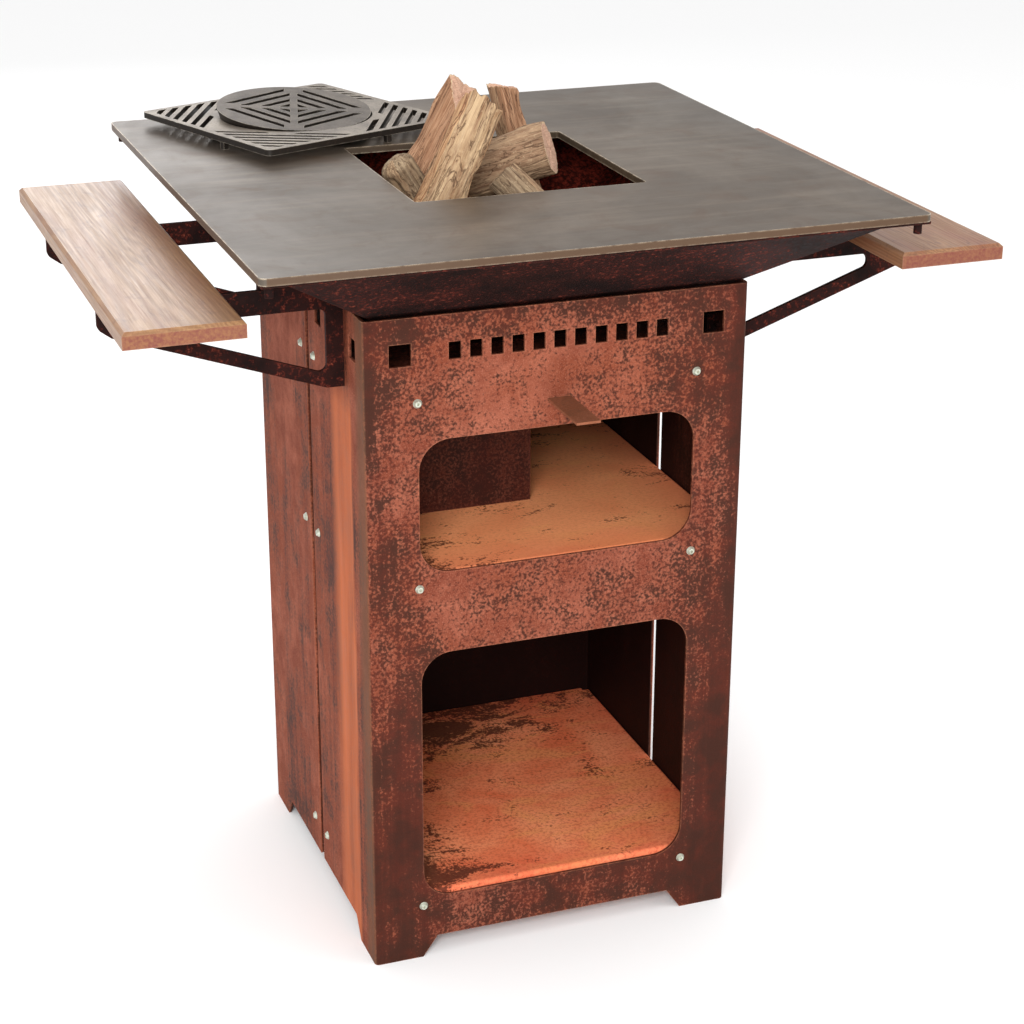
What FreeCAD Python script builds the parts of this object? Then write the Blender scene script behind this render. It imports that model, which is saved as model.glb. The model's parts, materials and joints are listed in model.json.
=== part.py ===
import FreeCAD, Part
import math
import os
import Sketcher
from FreeCAD import Placement, Rotation, Vector

doc = FreeCAD.newDocument("firePit")
sheet = doc.addObject("Spreadsheet::Sheet", "Dims")
os.makedirs("parts", exist_ok=True)


class Size:
    """A number that remembers the expression it came from, so that it can be bound to the sheet."""

    def __init__(self, number, text=None):
        self.number = float(number)
        self.text = text if text is not None else repr(float(number))

    @staticmethod
    def of(value):
        return value if isinstance(value, Size) else Size(value)

    def __add__(self, other):
        other = Size.of(other)
        return Size(self.number + other.number, f"({self.text} + {other.text})")

    def __sub__(self, other):
        other = Size.of(other)
        return Size(self.number - other.number, f"({self.text} - {other.text})")

    def __mul__(self, other):
        other = Size.of(other)
        return Size(self.number * other.number, f"({self.text} * {other.text})")

    def __truediv__(self, other):
        other = Size.of(other)
        return Size(self.number / other.number, f"({self.text} / {other.text})")

    def __neg__(self):
        return Size(-self.number, f"(0 - {self.text})")

    def __radd__(self, other):
        return Size.of(other) + self

    def __rsub__(self, other):
        return Size.of(other) - self

    def __rmul__(self, other):
        return Size.of(other) * self


row = 0


def cell(alias, value):
    """Puts one driving size in the sheet and gives it back as a bindable Size."""
    global row
    row += 1
    sheet.set(f"A{row}", alias)
    sheet.set(f"B{row}", str(value))
    sheet.setAlias(f"B{row}", alias)
    return Size(value, f"Dims.{alias}")


# Driving sizes, in millimetres
# pedestal
pedestal = cell("pedestalWidth", 500)
pedestalHeight = cell("pedestalHeight", 880)
sheetThick = cell("sheetThickness", 4)
bendRadius = cell("bendRadius", 6)
slit = cell("slitWidth", 15)
windowCorner = cell("windowCornerRadius", 40)
windowSide = cell("windowSideStrip", 68)
upperTall = cell("upperWindowHeight", 175)
lowerTall = cell("lowerWindowHeight", 350.5)
lowerLip = cell("lowerWindowBelowShelf", 8)
squareHole = cell("squareHoleSide", 28)
squareFromCorner = cell("squareHoleFromCorner", 46)
squareDrop = cell("squareHoleBelowRim", 46)
ventWide = cell("ventWidth", 16)
ventTall = cell("ventHeight", 22)
ventPitch = cell("ventPitch", 27)
footWide = cell("footWidth", 66)
footSlope = cell("footSlopeRun", 20)
footClear = cell("footClearance", 29)
# trays
deckDrop = cell("deckBelowRim", 89)
middleDrop = cell("middleShelfBelowDeck", 243)
bottomTop = cell("bottomShelfTop", 96)
trayFlange = cell("trayFlangeDepth", 30)
trayNotch = cell("trayCornerNotch", 12)
airHoleRadius = cell("airHoleRadius", 40)
# fasteners
screwDrop = cell("screwBelowShelf", 19)
screwFromCorner = cell("screwFromCorner", 67)
screwFromSlit = cell("screwFromMiddle", 30)
shankRadius = cell("screwShankRadius", 3)
headRadius = cell("screwHeadRadius", 5.8)
headHeight = cell("screwHeadHeight", 3.4)
nutAcross = cell("nutCircumradius", 5.8)
nutTall = cell("nutHeight", 5)
screwSpare = cell("screwSpareLength", 2)
holeClear = cell("holeClearance", 0.3)
slideClear = cell("slidingClearance", 0.3)
# divider
dividerBack = cell("dividerBehindFront", 193)
dividerReach = cell("dividerPastMiddle", 35)
dividerThick = cell("dividerThickness", 3)
dividerFoot = cell("dividerFoot", 26)
dividerHoleIn = cell("dividerScrewFromWall", 60)
dividerHoleEdge = cell("dividerScrewFromEdge", 40)
dividerGap = cell("dividerGapUnderDeck", 3)
# damper
damperHalf = cell("damperHalfWidth", 60)
damperThick = cell("damperThickness", 3)
damperTravel = cell("damperTravel", 60)
pullWide = cell("pullWidth", 31)
pullThick = cell("pullThickness", 3)
pullReach = cell("pullReach", 95)
pullGap = cell("pullGapUnderFlange", 2)
pullStepSpare = cell("pullStepSpare", 46)
pullOverlap = cell("pullOverlapOnPlate", 33)
rivetIn = cell("rivetFromPlateEdge", 16.8)
rivetApart = cell("rivetFromMiddle", 8.68)
railFoot = cell("railFoot", 14)
railLip = cell("railLip", 9)
# bowl
bowlFloorHalf = cell("bowlFloorHalfWidth", 116.5)
bowlEave = cell("griddlePastBowl", 26)
bowlWall = cell("bowlWallAcross", 7)
bowlHoleRadius = cell("bowlHoleRadius", 34)
rimThick = cell("rimThickness", 3)
rimInset = cell("rimInset", 2)
# griddle
griddle = cell("griddleWidth", 820)
griddleRise = cell("griddleAboveRim", 112)
griddleThick = cell("griddleThickness", 9)
griddleCorner = cell("griddleCornerRadius", 10)
openingCornerRadius = cell("openingCornerRadius", 4)
opening = cell("openingWidth", 302)
studRadius = cell("studRadius", 5)
studInset = cell("studInset", 13)
studDrop = cell("studLength", 16)
studClear = cell("studHoleClearance", 1.2)
# side boards and brackets
boardDeep = cell("boardDepth", 140)
boardLong = cell("boardLength", 690)
boardThick = cell("boardThickness", 20)
boardEdge = cell("boardChamfer", 4)
boardRise = cell("boardAboveRim", 27)
bracketFromCorner = cell("bracketFromCorner", 82)
bracketThick = cell("bracketThickness", 6)
bracketTall = cell("bracketHeight", 130)
bracketShort = cell("bracketShortOfBoard", 4)
bracketTip = cell("bracketTipDepth", 40)
bracketArm = cell("bracketArmDepth", 30)
bracketPost = cell("bracketPostWidth", 22)
bracketStrip = cell("bracketStrutWidth", 18)
bracketStart = cell("bracketTopStart", 42)
bracketNose = cell("bracketNoseWidth", 16)
bracketNoseTall = cell("bracketNoseHeight", 12)
bracketGapEnd = cell("bracketGapEndHeight", 17.1)
bracketRound = cell("bracketInnerRadius", 8.8)
bracketTipRound = cell("bracketTipRadius", 11)
tongueDeep = cell("tongueDepth", 14)
tongueTall = cell("tongueHeight", 24)
tongueInset = cell("tongueInset", 17)
keySide = cell("keySide", 5)
keyLong = cell("keyLength", 26)
cleatWide = cell("cleatWidth", 22)
cleatThick = cell("cleatThickness", 3)
cleatLong = cell("cleatLength", 110)
cleatFromTip = cell("cleatFromTip", 10)
cleatScrew = cell("cleatScrewFromMiddle", 35.2)
# grates
emberEdge = cell("emberGrateEdgeGap", 6.5)
emberThick = cell("emberGrateThickness", 6)
emberRise = cell("emberGrateAboveDeck", 59)
emberLeg = cell("emberLegWidth", 14)
emberLegIn = cell("emberLegFromEdge", 21.5)
emberSlot = cell("emberSlotWidth", 10)
emberPitch = cell("emberSlotPitch", 24)
emberMargin = cell("emberSlotEndMargin", 35)
grateWide = cell("grateWidth", 302)
grateThick = cell("grateThickness", 8)
grateLift = cell("grateFootHeight", 10)
grateX = cell("grateX", -177.6)
grateY = cell("grateY", 289.4)
grateTurn = cell("grateTurn", 20.18)
grateHole = cell("grateHoleRadius", 103.5)
grateBar = cell("grateBarWidth", 9)
slotWide = cell("grateSlotWidth", 8)
slotPitch = cell("grateSlotPitch", 15)
discUnder = cell("discFitBelowHole", 3.5)
discFlare = cell("discFlare", 5)
discThick = cell("discThickness", 13)
discWeb = cell("discWebThickness", 7)
discPitch = cell("discSlotPitch", 20)
discSlotWide = cell("discSlotWidth", 8.8)
discSpine = cell("discSpineHalfWidth", 5)
discTip = cell("discTipAngle", 5)
discSlip = cell("discSlip", 6)
discRise = cell("discRise", 3.9)
discTurn = cell("discTurn", 55)
discUphill = cell("discUphill", 114)
# firewood
baseTall = cell("baseLogHeight", 72)
baseHalf = cell("baseLogHalfWidth", 42)
baseLong = cell("baseLogLength", 262)
basePlace = cell("baseLogFromMiddle", 56)
blockRadius = cell("blockRadius", 18)
blockTall = cell("blockHeight", 50)

half = pedestal / 2
inner = half - sheetThick
windowWide = pedestal - 2 * windowSide
deckTop = pedestalHeight - deckDrop
middleTop = deckTop - middleDrop
upperLow = middleTop
upperHigh = upperLow + upperTall
lowerLow = bottomTop - lowerLip
lowerHigh = lowerLow + lowerTall
pullHigh = deckTop - trayFlange - pullGap - pullThick
griddleTop = pedestalHeight + griddleRise
griddleUnder = griddleTop - griddleThick
rimUnder = griddleUnder - rimThick
bowlRimHalf = griddle / 2 - bowlEave
boardUnder = pedestalHeight + boardRise
bracketPlace = half - bracketFromCorner
bracketLong = griddle / 2 + boardDeep - bracketShort - half
emberWide = 2 * (bowlFloorHalf - emberEdge)
emberTop = deckTop + emberRise
logBase = emberTop + baseTall
screwLevels = [deckTop - screwDrop, middleTop - screwDrop, bottomTop - screwDrop]
doc.recompute()


def bind(thing, prop, value):
    """Sets a property and ties it to the sheet."""
    value = Size.of(value)
    thing.setExpression(prop, value.text)


def newBody(label):
    body = doc.addObject("PartDesign::Body", label)
    body.Label = label
    return body


def originPlane(body, role):
    return next(f for f in body.Origin.OriginFeatures if f.Role == role)


def newSketch(body, plane, name, offset=0):
    """A sketch on one of the body's own planes, moved along the plane's normal."""
    sketch = body.newObject("Sketcher::SketchObject", name)
    sketch.AttachmentSupport = [(originPlane(body, plane), "")]
    sketch.MapMode = "FlatFace"
    bind(sketch, "AttachmentOffset.Base.z", offset)
    return sketch


def tie(sketch, geometry, place, point):
    """Ties one end of a line, or a circle's centre, to the sheet in both directions."""
    for kind, axis, value in (("DistanceX", -2, Size.of(point[0])), ("DistanceY", -1, Size.of(point[1]))):
        if abs(value.number) < 1e-9:
            sketch.addConstraint(Sketcher.Constraint("PointOnObject", geometry, place, axis))
            continue
        if value.number > 0:
            ends = (-1, 1, geometry, place, value.number)
            text = value.text
        else:
            ends = (geometry, place, -1, 1, -value.number)
            text = (-value).text
        index = sketch.addConstraint(Sketcher.Constraint(kind, *ends))
        sketch.setExpression(f"Constraints[{index}]", text)


def polygon(sketch, points):
    """A closed outline whose corners are all tied to the sheet."""
    places = [Vector(Size.of(x).number, Size.of(y).number, 0) for x, y in points]
    first = len(sketch.Geometry)
    count = len(points)
    for i in range(count):
        sketch.addGeometry(Part.LineSegment(places[i], places[(i + 1) % count]), False)
    for i in range(count):
        sketch.addConstraint(Sketcher.Constraint("Coincident", first + i, 2, first + (i + 1) % count, 1))
    for i in range(count):
        tie(sketch, first + i, 1, points[i])


def rectangle(sketch, x, y, wide, tall):
    """A rectangle round its middle point."""
    left, right = x - wide / 2, x + wide / 2
    low, high = y - tall / 2, y + tall / 2
    polygon(sketch, [(left, low), (right, low), (right, high), (left, high)])


def circle(sketch, x, y, radius):
    radius = Size.of(radius)
    centre = Vector(Size.of(x).number, Size.of(y).number, 0)
    index = sketch.addGeometry(Part.Circle(centre, Vector(0, 0, 1), radius.number), False)
    tie(sketch, index, 3, (x, y))
    place = sketch.addConstraint(Sketcher.Constraint("Radius", index, radius.number))
    sketch.setExpression(f"Constraints[{place}]", radius.text)


def pad(body, sketch, length, middle=False, back=False):
    feature = body.newObject("PartDesign::Pad", sketch.Name + "Pad")
    feature.Profile = sketch
    bind(feature, "Length", length)
    feature.Midplane = middle
    feature.Reversed = back
    sketch.Visibility = False
    doc.recompute()
    return feature


def pocket(body, sketch, length, middle=False, back=False):
    """Cuts an outline, and stops if the cut missed the solid."""
    doc.recompute()
    before = body.Shape.Volume
    feature = body.newObject("PartDesign::Pocket", sketch.Name + "Pocket")
    feature.Profile = sketch
    bind(feature, "Length", length)
    feature.Midplane = middle
    feature.Reversed = back
    sketch.Visibility = False
    doc.recompute()
    if not body.Shape.Volume < before - 1e-3:
        raise RuntimeError("the pocket " + feature.Name + " cut nothing")
    return feature


def roundEdges(body, chosen, radius, kind="PartDesign::Fillet"):
    """Fillets or chamfers the edges of the body's last feature that the given test picks."""
    base = body.Tip
    names = [f"Edge{i + 1}" for i, edge in enumerate(base.Shape.Edges) if chosen(edge)]
    if not names:
        raise RuntimeError("no edges to round on " + body.Label)
    feature = body.newObject(kind, body.Label + "Round")
    feature.Base = (base, names)
    bind(feature, "Radius" if kind == "PartDesign::Fillet" else "Size", radius)
    doc.recompute()
    return feature


def along(edge, axis):
    """Whether a straight edge runs along the axis numbered 0, 1 or 2."""
    if edge.Curve.TypeId != "Part::GeomLine":
        return False
    direction = edge.tangentAt(edge.FirstParameter)
    return abs(abs(direction[axis]) - 1) < 1e-6


def near(value, target):
    return abs(value - Size.of(target).number) < 1e-3


def primitive(kind, name, sizes, base, turn=None):
    """A Part primitive with sizes and place tied to the sheet."""
    thing = doc.addObject(kind, name)
    for prop, value in sizes.items():
        bind(thing, prop, value)
    if turn is not None:
        thing.Placement = Placement(Vector(0, 0, 0), turn)
    for letter, value in zip("xyz", base):
        bind(thing, "Placement.Base." + letter, value)
    thing.Visibility = False
    return thing


def box(name, low, size):
    lengths = {"Length": size[0], "Width": size[1], "Height": size[2]}
    return primitive("Part::Box", name, lengths, low)


def fuse(label, shapes):
    joined = doc.addObject("Part::MultiFuse", label)
    joined.Shapes = shapes
    joined.Label = label
    return joined


def group(label, shapes):
    """Separate solids kept in one node."""
    together = doc.addObject("Part::Compound", label)
    together.Links = shapes
    together.Label = label
    return together


def cut(label, base, tool):
    left = doc.addObject("Part::Cut", label)
    left.Base = base
    left.Tool = tool
    left.Label = label
    return left


def shell(label, front):
    """One C-folded half of the pedestal: the front one has the windows, vents and damper slot."""
    side = -1 if front else 1
    body = newBody(label)
    profile = newSketch(body, "XY_Plane", label + "Fold")
    outer, inside, open_ = side * half, side * inner, side * (slit / 2)
    polygon(profile, [(-half, open_), (-half, outer), (half, outer), (half, open_),
                      (inner, open_), (inner, inside), (-inner, inside), (-inner, open_)])
    pad(body, profile, pedestalHeight)

    def bend(edge):
        middle = edge.CenterOfMass
        return along(edge, 2) and near(abs(middle.x), half) and near(abs(middle.y), half)

    roundEdges(body, bend, bendRadius)

    def innerBend(edge):
        middle = edge.CenterOfMass
        return along(edge, 2) and near(abs(middle.x), inner) and near(abs(middle.y), inner)

    roundEdges(body, innerBend, bendRadius - sheetThick)
    if front:
        windows = newSketch(body, "XZ_Plane", "windows", -outer)
        rectangle(windows, 0, (upperLow + upperHigh) / 2, windowWide, upperHigh - upperLow)
        rectangle(windows, 0, (lowerLow + lowerHigh) / 2, windowWide, lowerHigh - lowerLow)
        pocket(body, windows, sheetThick * 3, middle=True)

        def windowCornerEdge(edge):
            middle = edge.CenterOfMass
            levels = (upperLow, upperHigh, lowerLow, lowerHigh)
            inWindow = any(near(middle.z, level) for level in levels)
            return along(edge, 1) and inWindow and near(abs(middle.x), windowWide / 2)

        roundEdges(body, windowCornerEdge, windowCorner)
        vents = newSketch(body, "XZ_Plane", "vents", -outer)
        for i in range(-5, 6):
            rectangle(vents, i * ventPitch, pedestalHeight - squareDrop, ventWide, ventTall)
        rectangle(vents, 0, pullHigh + pullThick / 2, pullWide + 4 * slideClear, pullThick + 4 * slideClear)
        pocket(body, vents, sheetThick * 3, middle=True)
    faceHoles = newSketch(body, "XZ_Plane", label + "FaceHoles", -outer)
    for x in (half - squareFromCorner, squareFromCorner - half):
        rectangle(faceHoles, x, pedestalHeight - squareDrop, squareHole, squareHole)
    footOutline(faceHoles)
    for x in (half - screwFromCorner, screwFromCorner - half):
        for level in screwLevels:
            circle(faceHoles, x, level, shankRadius + holeClear)
    pocket(body, faceHoles, sheetThick * 3, middle=True)
    sideHoles = newSketch(body, "YZ_Plane", label + "SideHoles")
    corner = side * (half - squareFromCorner)
    rectangle(sideHoles, corner, pedestalHeight - squareDrop, squareHole, squareHole)
    nearSlit = side * (slit / 2 + squareFromCorner)
    rectangle(sideHoles, nearSlit, pedestalHeight - squareDrop, squareHole, squareHole)
    for level in screwLevels:
        circle(sideHoles, side * screwFromSlit, level, shankRadius + holeClear)
    for low in tongueLows():
        rectangle(sideHoles, side * bracketPlace, low + tongueTall / 2,
                  bracketThick + 2 * holeClear, tongueTall + 2 * holeClear)
    pocket(body, sideHoles, pedestal * 1.2, middle=True)
    sideFeet = newSketch(body, "YZ_Plane", label + "SideFeet")
    footOutline(sideFeet)
    pocket(body, sideFeet, pedestal * 1.2, middle=True)
    return body


def footOutline(sketch):
    """The trapezoid that leaves a foot at each corner."""
    run = half - footWide
    polygon(sketch, [(-run, -1), (run, -1), (run, 0.5), (run - footSlope, footClear),
                     (footSlope - run, footClear), (-run, 0.5)])


def tongueLows():
    """The lower edges of a bracket's two tongues."""
    top = boardUnder - bracketArm
    return [top - tongueInset - tongueTall, top - bracketTall + bracketArm + tongueInset]


def tray(label, top):
    """A square shelf with a flange folded down on each side and notched corners."""
    body = newBody(label)
    across = {"XZ_Plane": label + "Across", "YZ_Plane": label + "Along"}
    for plane, name in across.items():
        profile = newSketch(body, plane, name)
        low, under = top - trayFlange, top - sheetThick
        wall = inner - sheetThick
        polygon(profile, [(-inner, low), (-inner, top), (inner, top), (inner, low),
                          (wall, low), (wall, under), (-wall, under), (-wall, low)])
        pad(body, profile, 2 * (inner - trayNotch), middle=True)

    def foldEdge(edge):
        middle = edge.CenterOfMass
        onRim = near(max(abs(middle.x), abs(middle.y)), inner)
        return (along(edge, 0) or along(edge, 1)) and near(middle.z, top) and onRim

    roundEdges(body, foldEdge, bendRadius - 1)
    for plane in ("XZ_Plane", "YZ_Plane"):
        holes = newSketch(body, plane, label + "Holes" + plane[:2])
        reach = half - screwFromCorner if plane == "XZ_Plane" else screwFromSlit
        for x in (reach, -reach):
            circle(holes, x, top - screwDrop, shankRadius + holeClear)
        pocket(body, holes, pedestal * 1.2, middle=True)
    return body


def airHole(body, label, level, radius):
    """A round hole through a horizontal sheet."""
    hole = newSketch(body, "XY_Plane", label + "AirHole", level)
    circle(hole, 0, 0, radius)
    pocket(body, hole, sheetThick * 4, middle=True)


def screwSet(label, places, direction, length):
    """Button-head screws at the given points of the outer face, pointing in along a direction."""
    turn = Rotation(Vector(0, 0, 1), Vector(*direction))
    solids = []
    for number, place in enumerate(places):
        name = f"{label}{number}"
        shank = primitive("Part::Cylinder", name + "Shank", {"Radius": shankRadius, "Height": length},
                          place, turn)
        back = [Size.of(p) - d * headHeight for p, d in zip(place, direction)]
        head = primitive("Part::Cone", name + "Head",
                         {"Radius1": headRadius * 0.62, "Radius2": headRadius, "Height": headHeight},
                         back, turn)
        socketDeep = headHeight * 0.55
        socket = primitive("Part::Prism", name + "Socket",
                           {"Circumradius": shankRadius * 0.62, "Height": socketDeep}, back, turn)
        socket.Polygon = 6
        whole = fuse(name + "Whole", [head, shank])
        whole.Visibility = False
        finished = cut(name + "Cut", whole, socket)
        finished.Visibility = False
        solids.append(finished)
    return group(label, solids)


def nutSet(label, places, direction, depth):
    """Hexagon nuts behind the sheets, for the screws at the same points."""
    turn = Rotation(Vector(0, 0, 1), Vector(*direction))
    solids = []
    for number, place in enumerate(places):
        name = f"{label}{number}"
        start = [Size.of(p) + d * depth for p, d in zip(place, direction)]
        blank = primitive("Part::Prism", name + "Blank", {"Circumradius": nutAcross, "Height": nutTall},
                          start, turn)
        blank.Polygon = 6
        bore = primitive("Part::Cylinder", name + "Bore",
                         {"Radius": shankRadius + holeClear * 0.5, "Height": nutTall}, start, turn)
        finished = cut(name + "Cut", blank, bore)
        finished.Visibility = False
        solids.append(finished)
    return group(label, solids)


def fixings():
    """The screws and nuts that hold the shells to the trays, one group for each side."""
    across = half - screwFromCorner
    sides = {
        "front": ([(x, -half, z) for z in screwLevels for x in (-across, across)], (0, 1, 0)),
        "rear": ([(x, half, z) for z in screwLevels for x in (-across, across)], (0, -1, 0)),
        "left": ([(-half, y, z) for z in screwLevels for y in (-screwFromSlit, screwFromSlit)], (1, 0, 0)),
        "right": ([(half, y, z) for z in screwLevels for y in (-screwFromSlit, screwFromSlit)], (-1, 0, 0)),
    }
    grip = 2 * sheetThick
    for side, (places, direction) in sides.items():
        nodes.append(screwSet(side + "_screws", places, direction, grip + nutTall + screwSpare))
        nodes.append(nutSet(side + "_nuts", places, direction, grip))


def divider():
    """The upright sheet on the middle shelf, with a foot folded backwards."""
    body = newBody("inner_divider")
    profile = newSketch(body, "YZ_Plane", "dividerFold", -inner)
    face = dividerBack - half
    back = face + dividerThick
    high = deckTop - trayFlange - dividerGap
    polygon(profile, [(face, middleTop), (face, high), (back, high), (back, middleTop + dividerThick),
                      (face + dividerFoot, middleTop + dividerThick), (face + dividerFoot, middleTop)])
    pad(body, profile, inner + dividerReach)
    holes = newSketch(body, "XY_Plane", "dividerHoles", middleTop)
    for x, y, z in dividerScrewPlaces():
        circle(holes, x, y, shankRadius + holeClear)
    pocket(body, holes, dividerThick * 4, middle=True)
    return body


def dividerScrewPlaces():
    y = dividerBack - half + dividerThick + (dividerFoot - dividerThick) / 2
    high = middleTop + dividerThick
    return [(-inner + dividerHoleIn, y, high), (dividerReach - dividerHoleEdge, y, high)]


def damperRail(label, side):
    """A Z-folded rail under the deck that carries one edge of the damper plate."""
    body = newBody(label)
    profile = newSketch(body, "XZ_Plane", label + "Fold")
    under = deckTop - sheetThick
    web = damperHalf + slideClear
    lipTop = under - damperThick - 2 * slideClear
    polygon(profile, [
        (side * (web + damperThick), under - damperThick),
        (side * (web + railFoot), under - damperThick),
        (side * (web + railFoot), under),
        (side * web, under),
        (side * web, lipTop),
        (side * (web - railLip), lipTop),
        (side * (web - railLip), lipTop - damperThick),
        (side * (web + damperThick), lipTop - damperThick),
    ])
    pad(body, profile, 2 * damperHalf + 2 * damperTravel, middle=True)
    return body


def damperPieces():
    """The sliding plate, its stepped pull and the rivets between them."""
    under = deckTop - sheetThick
    top = under - slideClear
    plate = newBody("damper_plate")
    outline = newSketch(plate, "XY_Plane", "damperOutline", top - damperThick)
    rectangle(outline, 0, 0, 2 * damperHalf, 2 * damperHalf)
    rivetPlaces = [(x, rivetIn - damperHalf) for x in (-rivetApart, rivetApart)]
    for x, y in rivetPlaces:
        circle(outline, x, y, shankRadius)
    pad(plate, outline, damperThick)
    pull = newBody("damper_pull")
    profile = newSketch(pull, "YZ_Plane", "pullStep")
    plateUnder = top - damperThick
    high = plateUnder - pullThick
    low = pullHigh
    end = -half - pullReach
    step = -half + damperTravel + pullStepSpare
    back = pullOverlap - damperHalf
    rise = high - low
    polygon(profile, [
        (end, low), (step, low), (step + rise, high), (back, high),
        (back, plateUnder), (step + rise - 1, plateUnder), (step - 1, low + pullThick),
        (end, low + pullThick),
    ])
    pad(pull, profile, pullWide, middle=True)
    holes = newSketch(pull, "XY_Plane", "pullHoles", high)
    for x, y in rivetPlaces:
        circle(holes, x, y, shankRadius)
    pocket(pull, holes, pullThick * 4, middle=True)
    rivets = []
    for number, (x, y) in enumerate(rivetPlaces):
        name = f"rivet{number}"
        stem = primitive("Part::Cylinder", name + "Stem",
                         {"Radius": shankRadius, "Height": damperThick + pullThick}, (x, y, high))
        head = primitive("Part::Cone", name + "Head",
                         {"Radius1": shankRadius, "Radius2": shankRadius * 1.7, "Height": shankRadius * 0.6},
                         (x, y, high - shankRadius * 0.6))
        whole = fuse(name, [stem, head])
        whole.Visibility = False
        rivets.append(whole)
    return [plate, pull, group("damper_rivets", rivets)]


def frustum(name, lowHalf, highHalf, low, tall):
    """A square frustum standing on a level."""
    wedge = doc.addObject("Part::Wedge", name)
    for prop, value in (("Xmin", -lowHalf), ("Xmax", lowHalf), ("Zmin", -lowHalf), ("Zmax", lowHalf),
                        ("X2min", -highHalf), ("X2max", highHalf), ("Z2min", -highHalf), ("Z2max", highHalf),
                        ("Ymin", Size(0)), ("Ymax", tall)):
        bind(wedge, prop, value)
    wedge.Placement = Placement(Vector(0, 0, 0), Rotation(Vector(1, 0, 0), 90))
    bind(wedge, "Placement.Base.z", low)
    wedge.Visibility = False
    return wedge


def bowlPieces():
    """An inverted pyramid of four welded walls, on a flat floor plate and under a flat rim plate."""
    floorTop = deckTop + sheetThick
    tall = rimUnder - floorTop
    floor = box("bowlFloorBlank", (-bowlFloorHalf, -bowlFloorHalf, deckTop),
                (2 * bowlFloorHalf, 2 * bowlFloorHalf, sheetThick))
    hole = primitive("Part::Cylinder", "bowlAirHole",
                     {"Radius": bowlHoleRadius, "Height": sheetThick * 3}, (0, 0, deckTop - sheetThick))
    pieces = [cut("bowl_floor", floor, hole)]
    outer = frustum("bowlOuter", bowlFloorHalf, bowlRimHalf, floorTop, tall)
    space = frustum("bowlSpace", bowlFloorHalf - bowlWall, bowlRimHalf - bowlWall, floorTop, tall)
    walls = cut("bowlWalls", outer, space)
    walls.Visibility = False
    for number, name in enumerate(("front", "right", "rear", "left")):
        sector = doc.addObject("Part::Wedge", "bowlSector" + name)
        for prop, value in (("Xmin", -bowlRimHalf), ("Xmax", bowlRimHalf), ("X2min", Size(0)),
                            ("X2max", Size(0)), ("Ymin", -bowlRimHalf), ("Ymax", Size(0)),
                            ("Zmin", floorTop), ("Zmax", rimUnder), ("Z2min", floorTop), ("Z2max", rimUnder)):
            bind(sector, prop, value)
        sector.Placement = Placement(Vector(0, 0, 0), Rotation(Vector(0, 0, 1), 90 * number))
        wall = doc.addObject("Part::Common", "bowl_wall_" + name)
        wall.Base = walls
        wall.Tool = sector
        wall.Label = "bowl_wall_" + name
        pieces.append(wall)
    rimHalf = griddle / 2 - rimInset
    rim = box("bowlRimBlank", (-rimHalf, -rimHalf, rimUnder), (2 * rimHalf, 2 * rimHalf, rimThick))
    mouth = bowlRimHalf - bowlWall
    away = [box("bowlMouth", (-mouth, -mouth, rimUnder - rimThick), (2 * mouth, 2 * mouth, 3 * rimThick))]
    for number, (x, y) in enumerate(studPlaces()):
        away.append(primitive("Part::Cylinder", f"bowlStudHole{number}",
                              {"Radius": studRadius + studClear, "Height": rimThick * 3},
                              (x, y, rimUnder - rimThick)))
    allAway = fuse("bowlRimAway", away)
    allAway.Visibility = False
    pieces.append(cut("bowl_rim", rim, allAway))
    return pieces


def studPlaces():
    reach = griddle / 2 - studInset
    return [(x, y) for x in (-reach, reach) for y in (-reach, reach)]


def griddlePieces():
    """The flat cooking plate with its fire opening, and the locating studs under its corners."""
    plate = newBody("griddle_plate")
    outline = newSketch(plate, "XY_Plane", "griddleOutline", griddleUnder)
    rectangle(outline, 0, 0, griddle, griddle)
    rectangle(outline, 0, 0, opening, opening)
    pad(plate, outline, griddleThick)

    def outerCorner(edge):
        middle = edge.CenterOfMass
        return along(edge, 2) and near(abs(middle.x), griddle / 2) and near(abs(middle.y), griddle / 2)

    roundEdges(plate, outerCorner, griddleCorner)

    def openingCorner(edge):
        middle = edge.CenterOfMass
        return along(edge, 2) and near(abs(middle.x), opening / 2) and near(abs(middle.y), opening / 2)

    roundEdges(plate, openingCorner, openingCornerRadius)
    studs = []
    for number, (x, y) in enumerate(studPlaces()):
        studs.append(primitive("Part::Cylinder", f"stud{number}",
                               {"Radius": studRadius, "Height": studDrop}, (x, y, griddleUnder - studDrop)))
    return [plate, group("griddle_studs", studs)]


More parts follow.
